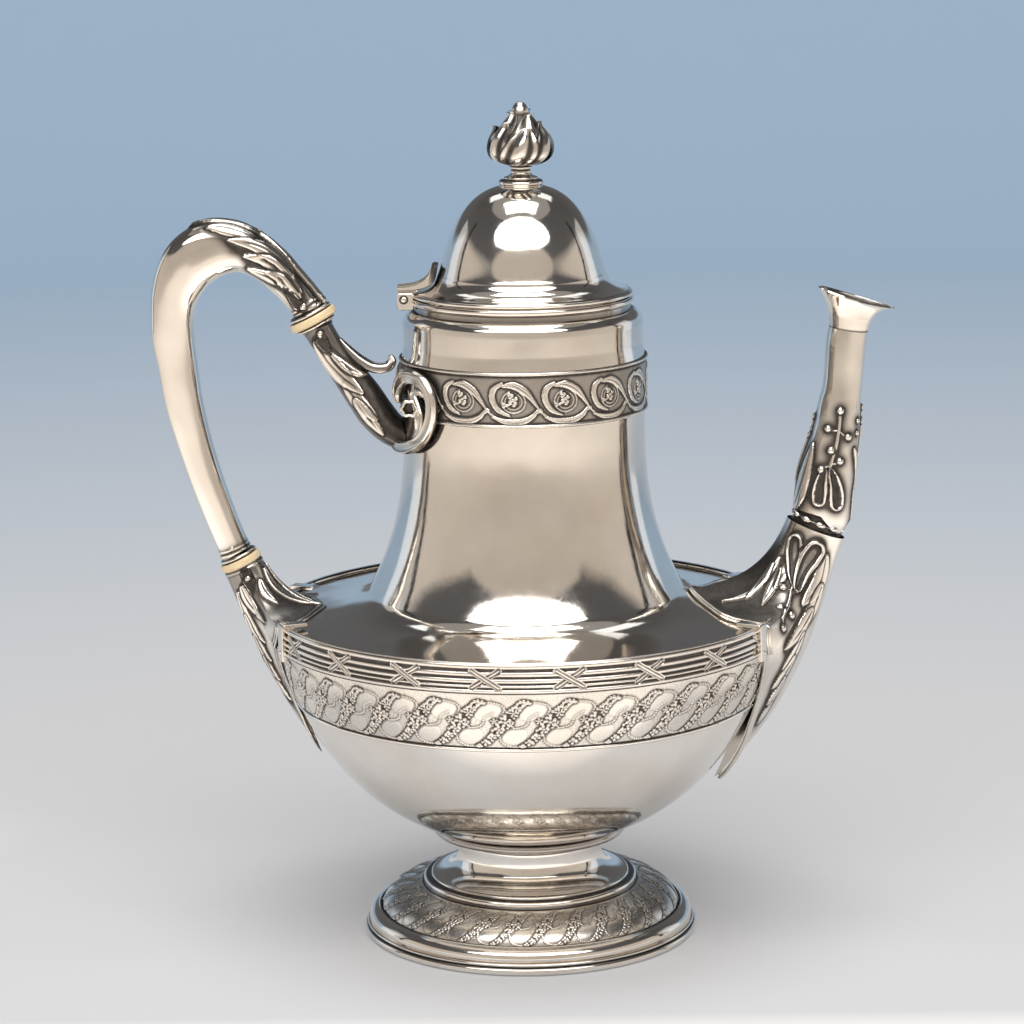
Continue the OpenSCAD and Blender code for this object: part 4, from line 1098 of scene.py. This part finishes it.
def spout_lip():
    outer = lip_grid(60, 200)
    inner = lip_grid(60, 200, -0.85)[:, ::-1] + [0, 0, 0.15]
    rim = (outer[:, -1:] + inner[:, :1]) / 2 + [0, 0, 0.35]
    p = np.concatenate([outer, rim, inner], 1)
    shade = np.zeros(p.shape[:2])
    # Painted shade: the inside of the mouth gets darker the deeper it lies below the rim, so the opening
    # reads dark.
    deep = np.clip((LIP[-1, 1] + 0.6 - 0.25 * (p[..., 0] - LIP[-1, 0]) - p[..., 2]) / 1.8, 0, 1)
    shade[:, 61:] = deep[:, 61:]
    shade[:, :6] = np.linspace(0.7, 0, 6)
    make("spout_lip", p.reshape(-1, 3), grid_quads(200, p.shape[1], True, True)[:, ::-1], "polished",
         "pot", "spout_lip", shade, 60)


def spout():
    spout_base()
    spout_eave_moulding()
    strap_piece("spout_straps", 26.9, 0, "spout_straps")
    spout_collar()
    spout_tube()
    spout_lip()


# ---- handle -----------------------------------------------------------------------------

def pin_well(r, places, radii, pin):
    """A sunk teardrop with a raised rim and the head of a pin in its round end."""
    q, _ = r.near(places, np.asarray(radii, float))
    r.h += 0.55 * np.exp(-((q - 1.05) / 0.17) ** 2) - 0.4 * np.clip(1 - q, 0, 1) ** 0.5
    r.outline(q, max(radii), OUTLINE)
    r.dark = np.maximum(r.dark, np.clip((0.95 - q) / 0.2, 0, 1))
    r.bead(pin, 0.95, 0.8, 0.45)


def grip_ornament(r, g):
    crest = on(g, (-62.0, 205.5), (-68.5, 212.5), (-74.0, 218.4), (-80.0, 223.6), (-86.6, 228.0))
    crest = crest * [1, 0, 1]
    flow(r, g, [([(-84, 225.6), (-89, 227.6), (-93.6, 228.8), (-98.2, 228.8)], 2.3),
                ([(-72.3, 213.7), (-76.8, 219.4), (-83.0, 223.2), (-91.4, 225.2)], 2.4),
                ([(-76.0, 211.4), (-79.5, 213.8), (-85.8, 216.4)], 1.7),
                ([(-69.8, 208.4), (-75.4, 215.0), (-80.4, 218.6), (-86.9, 220.0)], 2.3),
                ([(-69.8, 206.6), (-73.4, 210.6), (-76.2, 213.2), (-80.4, 215.2)], 1.9)], 1.0, 0, 0.15)
    top = on(g, (-83.0, 226.4), (-89.5, 229.4), (-96.0, 230.4), (-103.6, 228.8)) * [1, 0, 1]
    r.leaf(top, (1.4, 2.4, 2.9, 2.7, 1.8, 0.6), 1.1, 0.35, 0.1, 0, 0.5)
    r.leaf(crest, (2.2, 2.4, 2.5, 2.2, 1.4, 0.4), 1.25, 0.5, 0.25, 0, 0.6)
    pin_well(r, on(g, (-74.4, 209.6), (-71.8, 206.6), (-70.2, 204.4)), (0.5, 1.3, 1.7),
             on(g, (-68.7, 203.6))[0])


def handle_grip():
    grid = sweep(GRIP, 0.36, 190, 1.35)
    drawn = Relief(both_sides(grid))
    grip_ornament(drawn, grid)
    along = np.linspace(0, 1, grid.shape[1])
    length = grid_steps(grid)[1] * grid.shape[1]
    for end in (along * length, (1 - along) * length):
        drawn.h += 0.35 * np.exp(-((end - 0.9) / 0.45) ** 2) + 0.22 * np.exp(-((end - 2.3) / 0.3) ** 2)
    step_u, step_v = grid_steps(grid)
    h = blur(drawn.h, step_u, step_v, 0.13)
    shade = np.maximum(darkened(h, step_u, step_v) * 0.9, drawn.dark)
    surface("handle_grip", grid, "polished", "pot", "handle_grip", h, out=-1, patina_and_shade=shade,
            caps=("low", "high"), sharp=50)


def socket_ornament(r, g):
    flow(r, g, [([(-56.0, 179.4), (-51.6, 173.6), (-45.6, 168.2)], 2.4),
                ([(-52.6, 174.4), (-48.8, 169.2), (-43.9, 163.4)], 1.9),
                ([(-64.4, 192.0), (-61.0, 186.4), (-56.0, 181.0), (-50.3, 176.5)], 2.9),
                ([(-60.2, 189.0), (-56.2, 185.2), (-52.4, 182.6), (-49.4, 181.4)], 1.5)], 1.0, 0, 0.12)
    pin_well(r, on(g, (-60.6, 188.8), (-62.0, 191.2), (-62.9, 192.8)), (0.5, 1.2, 1.5),
             on(g, (-63.6, 195.3))[0])


def hollow_shade(grid):
    """The arm's ground is darkened all over as tarnish, and painted shade makes it darkest where its upper
    side runs under the curl.
    """
    above = np.clip((grid[..., 0] + 58) / 4, 0, 1) * (normals(grid, True)[..., 2] < 0.25)
    return np.maximum(0.5, 0.97 * above)


def upper_socket():
    """The arm between the upper ivory disc and the neck, where it is wrapped on the wall."""
    grid = sweep(UPPER_SOCKET, 0.3, 190, 1.2)
    wall = np.sqrt(np.maximum((NECK_R + 0.15) ** 2 - grid[..., 1] ** 2, 0))
    grid[..., 0] = np.minimum(grid[..., 0], -wall)
    dressed("upper_socket", grid, socket_ornament, "cast", "upper_socket", 0.9, ("low", "high"),
            hollow_shade)


def upper_socket_curl():
    line = pts((-58.2, 192.6, 0.9, 1.6), (-54.8, 188.8, 1.4, 2.4), (-51.4, 185.8, 1.6, 2.9),
               (-47.4, 183.6, 1.6, 3.1), (-43.2, 183.5, 1.5, 2.8), (-41.4, 185.4, 1.2, 2.2),
               (-41.9, 187.2, 0.6, 1.2))
    grid = sweep(line, 0.16, 110, 1.1)
    edge = np.abs(grid[..., 1]) / np.maximum(np.abs(grid[..., 1]).max(0), 1e-6)
    h = 0.3 * np.exp(-((edge - 0.8) / 0.16) ** 2) + 0.22 * np.exp(-(edge / 0.16) ** 2)
    step_u, step_v = grid_steps(grid)
    surface("upper_socket_curl", grid, "cast", "pot", "upper_socket_curl", h, out=-1,
            patina_and_shade=recess(h, step_u, step_v, 0.4, 0.1, 0.15), caps=("low", "high"))


VOLUTE = pts((8, 160.6, 1.4), (14, 160.2, 1.9), (22, 160.4, 2.1), (31, 161.8, 2.2), (39.4, 165.0, 2.2),
             (44.8, 170.4, 2.1), (46.0, 176.6, 2.1), (42.6, 181.6, 2.2), (35.5, 183.6, 2.3),
             (27.5, 183.3, 2.4), (20.8, 181.0, 2.4), (16.4, 177.4, 2.0), (17.2, 174.2, 1.0))
INNER_LEAF = pts((41.0, 178.2, 0.4), (37.4, 179.4, 1.1), (33.8, 178.2, 1.3), (36.4, 174.8, 1.5),
                 (38.6, 171.0, 1.6), (37.4, 167.6, 1.4), (33.6, 165.0, 0.5))
VOLUTE_R = 41.3


def scroll(path, side, lift):
    """A smooth band with a rolled outer edge, laid along a path on the neck."""
    line = even(smooth(path, 300) * [0.7, 1, 1], 0.18) / [0.7, 1, 1]
    a, z, w = np.radians(line[:, 0]), line[:, 1], line[:, 2]
    along = np.c_[np.gradient(a * VOLUTE_R), np.gradient(z)]
    along /= np.linalg.norm(along, axis=1)[:, None]
    n = 56
    u = np.linspace(0, TAU, n, endpoint=False)
    across = np.sign(np.cos(u)) * np.abs(np.cos(u)) ** 0.75
    out = np.sign(np.sin(u)) * np.abs(np.sin(u)) ** 0.75
    rolled = 0.42 * np.exp(-((across + 0.66) / 0.24) ** 2) + 0.2 * np.exp(-((across - 0.7) / 0.2) ** 2)
    height = np.where(out > 0, out * (0.62 + rolled), out * 0.8)
    arc_at = a[:, None] * VOLUTE_R - along[:, 1:] * across * w[:, None]
    at_z = z[:, None] + along[:, :1] * across * w[:, None]
    r = VOLUTE_R + lift + height * np.minimum(w, 1.7)[:, None] * 1.05
    angle = arc_at / VOLUTE_R
    v = np.stack([-r * np.cos(angle), side * r * np.sin(angle), at_z], -1)
    faces = grid_quads(len(line), n, False, True)
    faces = (faces if side > 0 else faces[:, ::-1]).tolist()
    low, high = list(range(n)), [(len(line) - 1) * n + k for k in range(n)]
    faces += [low, high[::-1]] if side > 0 else [low[::-1], high]
    shade = (np.clip(0.75 - rolled * 2.4, 0, 1) * (out > 0.5) * 0.1
             + np.clip((0.35 - out) / 0.5, 0, 1) * 0.95)
    return (v.reshape(-1, 3), faces), np.broadcast_to(shade, v.shape[:2]).ravel()


FLOWER = (-35.4, 22.6, 174.4)


def neck_volutes():
    """A scroll each side of the neck that curls over a flower, with a leaf inside it."""
    parts, shades = [], []
    for side in (-1, 1):
        for path, lift in ((VOLUTE, -0.4), (INNER_LEAF, -0.7)):
            part, shade = scroll(path, side, lift)
            parts.append(part)
            shades.append(shade)
        # the flower: a cupped rim of petals round a dark hollow
        k = 48
        turn = np.linspace(0, TAU, k, endpoint=False)[:, None]
        prof = joined(pts((0.01, 0.9), (1.2, 0.8), (1.45, 1.5), (1.9, 2.5)),
                      arc(2.25, 2.5, 0.6, 140, -30, 6),
                      pts((2.7, 0.6), (2.2, -0.2), (2.2, -6.0)))
        prof = even(prof, 0.32)
        petal = 1 + 0.09 * np.cos(6 * turn) * np.clip(prof[None, :, 0] - 1.0, 0, 1)
        pr, h = prof[None, :, 0] * petal, prof[None, :, 1] + 0 * turn
        x, y, z = FLOWER
        v = np.stack([x + pr * np.cos(turn), side * (y + h), z + pr * np.sin(turn)], -1)
        faces = grid_quads(k, len(prof), True)
        parts.append((v.reshape(-1, 3), (faces if side > 0 else faces[:, ::-1]).tolist()))
        shades.append(np.broadcast_to(np.clip((1.65 - prof[:, 0]) / 0.2, 0, 1), v.shape[:2]).ravel())
    verts, faces = merged(parts)
    make("neck_volutes", verts, faces, "cast", "pot", "neck_volutes", np.concatenate(shades), 60)


def lower_ornament(r, g):
    flow(r, g, [([(-82.4, 120.6), (-77.0, 113.4), (-71.0, 109.8), (-65.0, 108.0)], 1.4),
                ([(-83.4, 119.4), (-80.0, 114.0), (-74.6, 110.0), (-68.6, 107.6)], 1.6),
                ([(-84.6, 116.4), (-82.4, 112.6), (-79.0, 109.6)], 1.6)], 0.8, 0, 0.2)
    flow(r, g, [([(-91.4, 112.0), (-89.4, 105.4), (-86.4, 100.0), (-83.2, 96.6)], 1.9),
                ([(-89.2, 105.0), (-86.8, 98.8), (-83.8, 93.4), (-81.2, 90.2)], 1.6),
                ([(-86.6, 98.4), (-84.2, 92.0), (-81.4, 86.8), (-78.8, 83.6)], 1.4),
                ([(-83.6, 91.4), (-81.0, 85.0), (-78.2, 80.0), (-75.6, 77.0)], 1.2),
                ([(-90.2, 114.2), (-88.4, 110.4), (-85.6, 107.2), (-82.4, 104.6)], 2.0)], 0.75, 0, 0.25)
    pin_well(r, on(g, (-88.9, 118.9), (-88.0, 116.2), (-86.8, 112.4)), (1.4, 1.7, 0.6),
             on(g, (-88.4, 117.3))[0])


def socket_shade(grid):
    """Dark metal round the pin and on the saddle above the body."""
    saddle = np.clip((grid[..., 0] + 84) / 5, 0, 1) * np.clip((grid[..., 2] - 106) / 3, 0, 1)
    return np.maximum(0.8 * saddle, 0.4 * np.clip((grid[..., 2] - 103) / 6, 0, 1))


def lower_socket():
    grid = lower_socket_grid()
    drawn = Relief(both_sides(grid))
    lower_ornament(drawn, grid)
    rest = np.linalg.norm(grid - grid[:, -1:], axis=-1)
    for at, wide in ((0.7, 0.5), (1.9, 0.42)):
        drawn.h = np.maximum(drawn.h, 0.7 * np.exp(-((rest - at) / wide) ** 2))
    ring = np.linalg.norm(grid - grid[:, :1], axis=-1)
    drawn.h += 0.3 * np.exp(-((ring - 0.8) / 0.4) ** 2)
    step_u, step_v = grid_steps(grid)
    h = blur(drawn.h * 0.9, step_u, step_v, 0.12)
    surface("lower_socket", grid, "cast", "pot", "lower_socket", h, out=-1,
            patina_and_shade=np.maximum(np.maximum(darkened(h, step_u, step_v), drawn.dark),
                              socket_shade(grid) * np.clip(1 - h / 0.35, 0, 1)),
            sharp=50, caps=("low",))


def turned_on(name, profile, centre, way, look, nodes, around=160, patina_and_shade=None, sharp=35):
    """A turned piece of (r, t) points about a way in the XZ plane."""
    p = aligned(turned(profile, around), centre, way)
    shade = None if patina_and_shade is None else np.broadcast_to(patina_and_shade, p.shape[:2])
    return make(name, p.reshape(-1, 3), grid_quads(*p.shape[:2], True, True), look, "pot", nodes,
                shade, sharp)


def ferrule(name, centre, way, start, r):
    profile = joined(pts((2.95, 0.02), (r - 0.9, 0.02)), arc(r - 0.42, 0.7, 0.42, -90, 90, 12),
                     pts((r - 0.9, FERRULE_T - 0.02), (2.95, FERRULE_T - 0.02)))
    profile = even(profile, 0.08)
    shade = np.clip((r - 0.45 - profile[:, 0]) / 0.25, 0, 1)
    turned_on(name, profile + [0, start], centre, way, "polished", name, patina_and_shade=shade)


def insulator(name, centre, way, r):
    half, spigot, reach = DISC_T / 2, 2.9, 8.0
    edge = joined(arc(r - 0.75, -half + 0.8, 0.75, -85, 0, 8), arc(r - 0.75, half - 0.8, 0.75, 0, 85, 8))
    profile = joined(pts((0.01, -reach), (spigot, -reach), (spigot, -half)), pts((r - 1.4, -half)), edge,
                     pts((r - 1.4, half), (spigot, half), (spigot, reach), (0.01, reach)))
    shade = np.clip((np.abs(profile[:, 1]) - half + 0.2) / 0.15, 0, 1)
    turned_on(name, profile, centre, way, "ivory", name, 200, shade, 40)


def pins(name, centre, way, reach):
    """Pins driven through the metal and the ivory spigots, along Y."""
    parts = []
    for k, half in enumerate(reach):
        at = centre + (2 * k - 1) * (END_GAP + 2.6) * way
        line = joined(pts((0.01, -half - 0.28), (0.4, -half - 0.2), (0.72, -half), (0.78, -half + 0.3)),
                      pts((0.78, half - 0.3), (0.72, half), (0.4, half + 0.2), (0.01, half + 0.28)))
        g = turned(line, 40)
        v = np.stack([at[0] + g[..., 1], g[..., 2], at[1] + g[..., 0]], -1)
        parts.append((v.reshape(-1, 3), grid_quads(*g.shape[:2], True).tolist()))
    verts, faces = merged(parts)
    make(name, verts, faces, "fittings", "pot", name, sharp=50)


def handle():
    handle_grip()
    upper_socket()
    upper_socket_curl()
    neck_volutes()
    lower_socket()
    strap_piece("handle_straps", 20.5, 180, "handle_straps")
    ferrule("upper_grip_ferrule", UPPER_DISC, UPPER_DIR, DISC_T / 2, 7.2)
    ferrule("upper_socket_ferrule", UPPER_DISC, UPPER_DIR, -DISC_T / 2 - FERRULE_T, 6.6)
    ferrule("lower_grip_ferrule", LOWER_DISC, LOWER_DIR, DISC_T / 2, 6.2)
    insulator("upper_insulator", UPPER_DISC, UPPER_DIR, 7.8)
    insulator("lower_insulator", LOWER_DISC, LOWER_DIR, 6.7)
    pins("upper_insulator_pins", UPPER_DISC, UPPER_DIR, (5.0, 5.4))
    pins("lower_insulator_pins", LOWER_DISC, LOWER_DIR, (6.6, 5.4))


# ---- hinge and the lid's small pieces --------------------------------------------------

HINGE = np.array([-37.1, 205.7])
KNUCKLE_R, KNUCKLE_HALF, BRACKET_HALF = 1.95, 2.1, 6.4


def prism(outline, low, high, bevel=0.18):
    """Verts and faces of an (x, z) outline drawn out along Y, with eased edges."""
    middle = outline.mean(0)
    pull = (middle - outline) / np.linalg.norm(middle - outline, axis=1)[:, None] * bevel
    rows = []
    for y, k in ((low, 1), (low + bevel, 0), ((low + high) / 2, 0), (high - bevel, 0), (high, 1)):
        line = outline + k * pull
        rows.append(np.c_[line[:, 0], np.full(len(line), y), line[:, 1]])
    n = len(outline)
    faces = grid_quads(5, n, False, True)[:, ::-1].tolist()
    faces.append(list(range(n)))
    faces.append([4 * n + k for k in range(n)][::-1])
    return np.vstack(rows), faces


def hinge():
    """Two outer knuckles on the neck's rim, the pin, and the lid's knuckle between them."""
    x, z = HINGE
    low, high, left, right, e = z - 3.3, z + 1.9, x - 1.95, x + 3.0, 0.45
    outer = joined(arc(right - e, high - e, e, 0, 90, 5), arc(left + e, high - e, e, 90, 180, 5),
                   arc(left + e, low + e, e, 180, 270, 5), arc(right - e, low + e, e, 270, 360, 5))
    outer = even(np.vstack([outer, outer[:1]]), 0.22)[:-1]
    gap = KNUCKLE_HALF + 0.3
    verts, faces = merged([prism(outer, gap, BRACKET_HALF), prism(outer, -BRACKET_HALF, -gap)])
    make("hinge_bracket", verts, faces, "polished", "pot", "hinge_bracket", sharp=35)
    half = joined(pts((0.01, 7.05), (0.45, 7.0), (0.8, 6.85), (1.0, 6.55), (1.45, 6.5), (1.45, 6.3),
                      (0.95, 6.3)))
    head = even(joined(half * [1, -1], half[::-1]), 0.12)
    g = turned(head, 48)
    v = np.stack([x + g[..., 1], g[..., 2], z + g[..., 0]], -1)
    shade = np.clip((head[:, 0] - 0.85) / 0.2, 0, 1)
    make("hinge_pin", v.reshape(-1, 3), grid_quads(*g.shape[:2], True), "fittings", "pot", "hinge_pin",
         np.broadcast_to(shade, g.shape[:2]), 40)
    barrel = arc(x, z, KNUCKLE_R, 30, -210, 36)
    link = joined(barrel, pts((x - 1.9, z + 2.5)), pts((x + 4.0, z + 2.6)), pts((x + 4.1, z + 2.05)))
    link = even(np.vstack([link, link[:1]]), 0.22)[:-1]
    verts, faces = prism(link[::-1], -KNUCKLE_HALF, KNUCKLE_HALF)
    make("lid_hinge_knuckle", verts, faces, "polished", "lid", "lid_hinge_knuckle", sharp=35)


def thumb_leaf():
    """The curved thumb plate on the lid, with a raised rib down its middle and two edges."""
    top = bezier((-39.2, 209.05), (-33, 209.15), (-29.4, 210.3), (-28.1, 215.6), 24)
    under = bezier((-26.95, 212.6), (-27.75, 209.7), (-30.0, 208.6), (-34.4, 208.3), 18)
    outline = joined(top, pts((-27.3, 216.0), (-26.3, 215.8)), under,
                     pts((-39.2, 208.3), (-39.2, 209.05)))
    outline = even(outline, 0.16)[:-1]
    rib = np.r_[top + [-0.05, 0.25], top[::-1] + [0.1, -0.3]]
    parts, shades = [], []
    for line, low, high, dark in ((outline, -4.75, 4.75, 0.35), (outline + [-0.1, 0.2], -5.0, -4.3, 0),
                                  (outline + [-0.1, 0.2], 4.3, 5.0, 0), (rib, -0.6, 0.6, 0)):
        part = prism(line, low, high, 0.15)
        back = part[0][:, 0] > -28.3 + (216 - part[0][:, 2]) * 0.05
        parts.append(part)
        shades.append(np.maximum(dark * (np.abs(part[0][:, 1]) > 3.9), 0.95 * back))
    verts, faces = merged(parts)
    make("lid_thumb_leaf", verts, faces, "cast", "lid", "lid_thumb_leaf", np.concatenate(shades), 35)


def finial_fixing():
    """The threaded stud inside the bud and the six-sided nut under the lid's crown."""
    z = np.arange(235.2, 250.7, 0.1)
    thread = 1.4 + 0.075 * np.cos((z - 235) / 0.8 * TAU)
    profile = joined(pts((0.01, 235.0), (1.15, 235.0)), np.c_[thread, z],
                     pts((1.2, 250.9), (0.01, 250.9)))
    lathe("finial_screw", profile, "fittings", "lid", "finial_screw", 48, closed=False)
    low = 241 - 1 - 2.7
    corner = pts((1.52, 0), (3.0, 0), (3.55, 0.45), (3.55, 2.15), (3.0, 2.6), (1.52, 2.6)) + [0, low]
    g = turned(corner, 96)
    a = np.linspace(0, TAU, 96, endpoint=False)
    flat_side = math.cos(math.pi / 6) / np.cos(a % (TAU / 6) - math.pi / 6)
    wide = np.where(corner[:, 0] > 2, 1.0, 0.0)
    scale = 1 + wide[None, :] * (flat_side[:, None] - 1)
    g[..., 0] *= scale
    g[..., 1] *= scale
    make("finial_nut", g.reshape(-1, 3), grid_quads(*g.shape[:2], True, True), "fittings", "lid",
         "finial_nut", sharp=30)


# ---- stage ------------------------------------------------------------------------

def sweep_backdrop():
    """A pale floor that curves up into a pale blue backdrop behind the pot. Round the
    front it turns to white paper and then to the warm grey of the room that the silver
    mirrors. High up, above the lights, it is painted dark all round: painted shade for the
    unlit room. It also glows by its own emission, which is painted light."""
    radius, rise, top = 2.6, 0.9, 4.0
    line = joined(pts((0.001, 0), (radius - rise, 0)), arc(radius - rise, rise, rise, -90, 0, 24),
                  pts((radius, top),))
    line = even(line, 0.05)
    p = turned(line, 96) + [0, 0, -0.0002]
    nu, nv = p.shape[:2]
    mesh = bpy.data.meshes.new("backdrop")
    mesh.from_pydata(p.reshape(-1, 3).tolist(), [], grid_quads(nu, nv, True)[:, ::-1].tolist())
    mesh.polygons.foreach_set("use_smooth", np.ones(len(mesh.polygons), bool))
    m = Nodes("backdrop")
    axes = m.add("ShaderNodeSeparateXYZ")
    m.put(axes.inputs[0], m.place)
    depth = m.add("ShaderNodeVectorMath", operation="LENGTH")
    m.put(depth.inputs[0], m.place)
    far = depth.outputs["Value"]
    climb = m.span(far, *BLUE_SPAN, 0.0, 1.0)
    cloud = m.span(m.noise(1.2, 2.0), 0.3, 0.7, -0.04, 0.04)
    behind = m.mix(m.math("ADD", climb, cloud), rgb(*FLOOR), rgb(*BLUE))
    ahead = m.math("DIVIDE", axes.outputs["Y"], m.math("MAXIMUM", far, 0.05))
    front = m.mix(m.span(far, 0.3, 0.6, 0.0, 1.0), rgb(*PAPER), rgb(*ROOM))
    warm = m.math("MULTIPLY", m.span(ahead, 0.6, 0.15, 0.0, 1.0), m.span(far, 0.2, 0.3, 0.0, 1.0))
    warm = m.math("MAXIMUM", warm, m.span(axes.outputs["Y"], -0.088, -0.13, 0.0, 1.0))
    # Painted shade: above this limit the backdrop turns dark, standing in for the unlit room.
    limit = m.math("ADD", m.span(ahead, 0.3, 0.75, 1.15, 0.45), m.span(ahead, -0.6, -0.9, 0.0, 1.4))
    unlit = m.span(m.math("SUBTRACT", axes.outputs["Z"], limit), 0.0, 0.25, 0.0, 1.0)
    colour = m.mix(unlit, m.mix(warm, behind, front), rgb(*SHADE_ABOVE_LIGHTS))
    m.put(m.shader.inputs["Base Color"], colour)
    # Painted light: the backdrop glows with its own colour, faintly all over and more on the warm front
    # and on the paper near the pot.
    m.put(m.shader.inputs["Emission Color"], colour)
    close = m.math("MULTIPLY", warm, m.span(far, 0.3, 0.6, PAPER_GLOW, 0.0))
    glow = m.math("ADD", m.math("ADD", GLOW, m.math("MULTIPLY", warm, ROOM_GLOW)), close)
    m.put(m.shader.inputs["Emission Strength"], glow)
    m.shader.inputs["Roughness"].default_value = 0.9
    m.shader.inputs["Specular IOR Level"].default_value = 0.1
    mesh.materials.append(m.material)
    obj = bpy.data.objects.new("backdrop", mesh)
    bpy.context.scene.collection.objects.link(obj)


def area_light(name, place, target, size, power, colour=(1, 1, 1), shape="RECTANGLE"):
    data = bpy.data.lights.new(name, "AREA")
    data.shape = shape
    data.size, data.size_y = size
    data.energy = power
    data.color = colour
    obj = bpy.data.objects.new(name, data)
    obj.location = place
    obj.rotation_euler = (Vector(target) - Vector(place)).to_track_quat("-Z", "Y").to_euler()
    obj.visible_camera = False
    bpy.context.scene.collection.objects.link(obj)


def card(name, place, target, size, colour):
    """A flat black flag that only reflections see."""
    m = Nodes(name)
    m.put(m.shader.inputs["Base Color"], rgb(*colour))
    m.shader.inputs["Roughness"].default_value = 0.9
    mesh = bpy.data.meshes.new(name)
    w, h = size[0] / 2, size[1] / 2
    mesh.from_pydata([(-w, -h, 0), (w, -h, 0), (w, h, 0), (-w, h, 0)], [], [(0, 1, 2, 3)])
    mesh.materials.append(m.material)
    obj = bpy.data.objects.new(name, mesh)
    obj.location = place
    obj.rotation_euler = (Vector(target) - Vector(place)).to_track_quat("Z", "Y").to_euler()
    obj.visible_camera = False
    obj.visible_shadow = False
    obj.visible_diffuse = False
    bpy.context.scene.collection.objects.link(obj)


FLOOR = (0.55, 0.555, 0.57)
PAPER = (0.92, 0.88, 0.84)
BLUE = (0.45, 0.60, 0.77)
SHADE_ABOVE_LIGHTS = (0.15, 0.15, 0.155)
ROOM = (0.78, 0.715, 0.645)
BLUE_SPAN = (0.3, 1.8)
GLOW = 0.22
ROOM_GLOW = 0.09
PAPER_GLOW = 0.2
SOFT_WHITE = (1.0, 0.99, 0.97)
STRIP_WHITE = (1.0, 0.98, 0.96)
SKY_WHITE = (0.95, 0.98, 1.0)
BLACK = (0.01, 0.01, 0.01)
WORLD = (0.80, 0.76, 0.72, 1)
CAMERA_LENS, CAMERA_SENSOR = 118.49, 36
CAMERA_PLACE = (0.0, -1.0514, 0.3468)
CAMERA_YAW, CAMERA_TILT, CAMERA_ROLL = 0.23, 90 - 11.315, -0.802


def light_the_scene():
    sweep_backdrop()
    middle = (0, 0, 0.13)
    area_light("front_box", (0.0, -0.85, 1.17), middle, (2.0, 0.74), 14, SOFT_WHITE, "ELLIPSE")
    area_light("overhead", (0.0, -0.1, 1.5), (0.0, -0.05, 0.0), (0.9, 0.6), 8, SOFT_WHITE)
    area_light("left_strip", (-1.15, 0.62, 0.3), middle, (0.4, 1.0), 0.5, STRIP_WHITE)
    area_light("right_strip", (1.15, 0.62, 0.3), middle, (0.4, 1.0), 0.5, STRIP_WHITE)
    area_light("back_wash", (0.0, 1.2, 1.9), (0, 1.6, 0), (2.0, 0.8), 6, SKY_WHITE)
    card("left_flag", (-1.05, 0.2, 0.3), middle, (0.07, 1.2), BLACK)
    card("right_flag", (1.05, 0.2, 0.3), middle, (0.07, 1.2), BLACK)
    world = bpy.data.worlds.new("studio")
    world.use_nodes = True
    world.node_tree.nodes["Background"].inputs["Color"].default_value = WORLD
    world.node_tree.nodes["Background"].inputs["Strength"].default_value = 0.4
    bpy.context.scene.world = world
    bpy.context.scene.view_settings.view_transform = "Standard"


def set_camera():
    data = bpy.data.cameras.new("camera")
    data.lens = CAMERA_LENS
    data.sensor_width = CAMERA_SENSOR
    obj = bpy.data.objects.new("camera", data)
    yaw, tilt, roll = (math.radians(angle) for angle in (CAMERA_YAW, CAMERA_TILT, CAMERA_ROLL))
    turn = (Matrix.Rotation(yaw, 4, "Z") @ Matrix.Rotation(tilt, 4, "X")
            @ Matrix.Rotation(roll, 4, "Z"))
    obj.matrix_world = Matrix.Translation(CAMERA_PLACE) @ turn
    bpy.context.scene.collection.objects.link(obj)
    bpy.context.scene.camera = obj


set_camera()
light_the_scene()
foot()
bowl()
frieze_band()
reeded_band()
shoulder_and_neck()
neck_band()
rim_ring()
lid()
finial_bud()
spout()
handle()
hinge()
thumb_leaf()
finial_fixing()
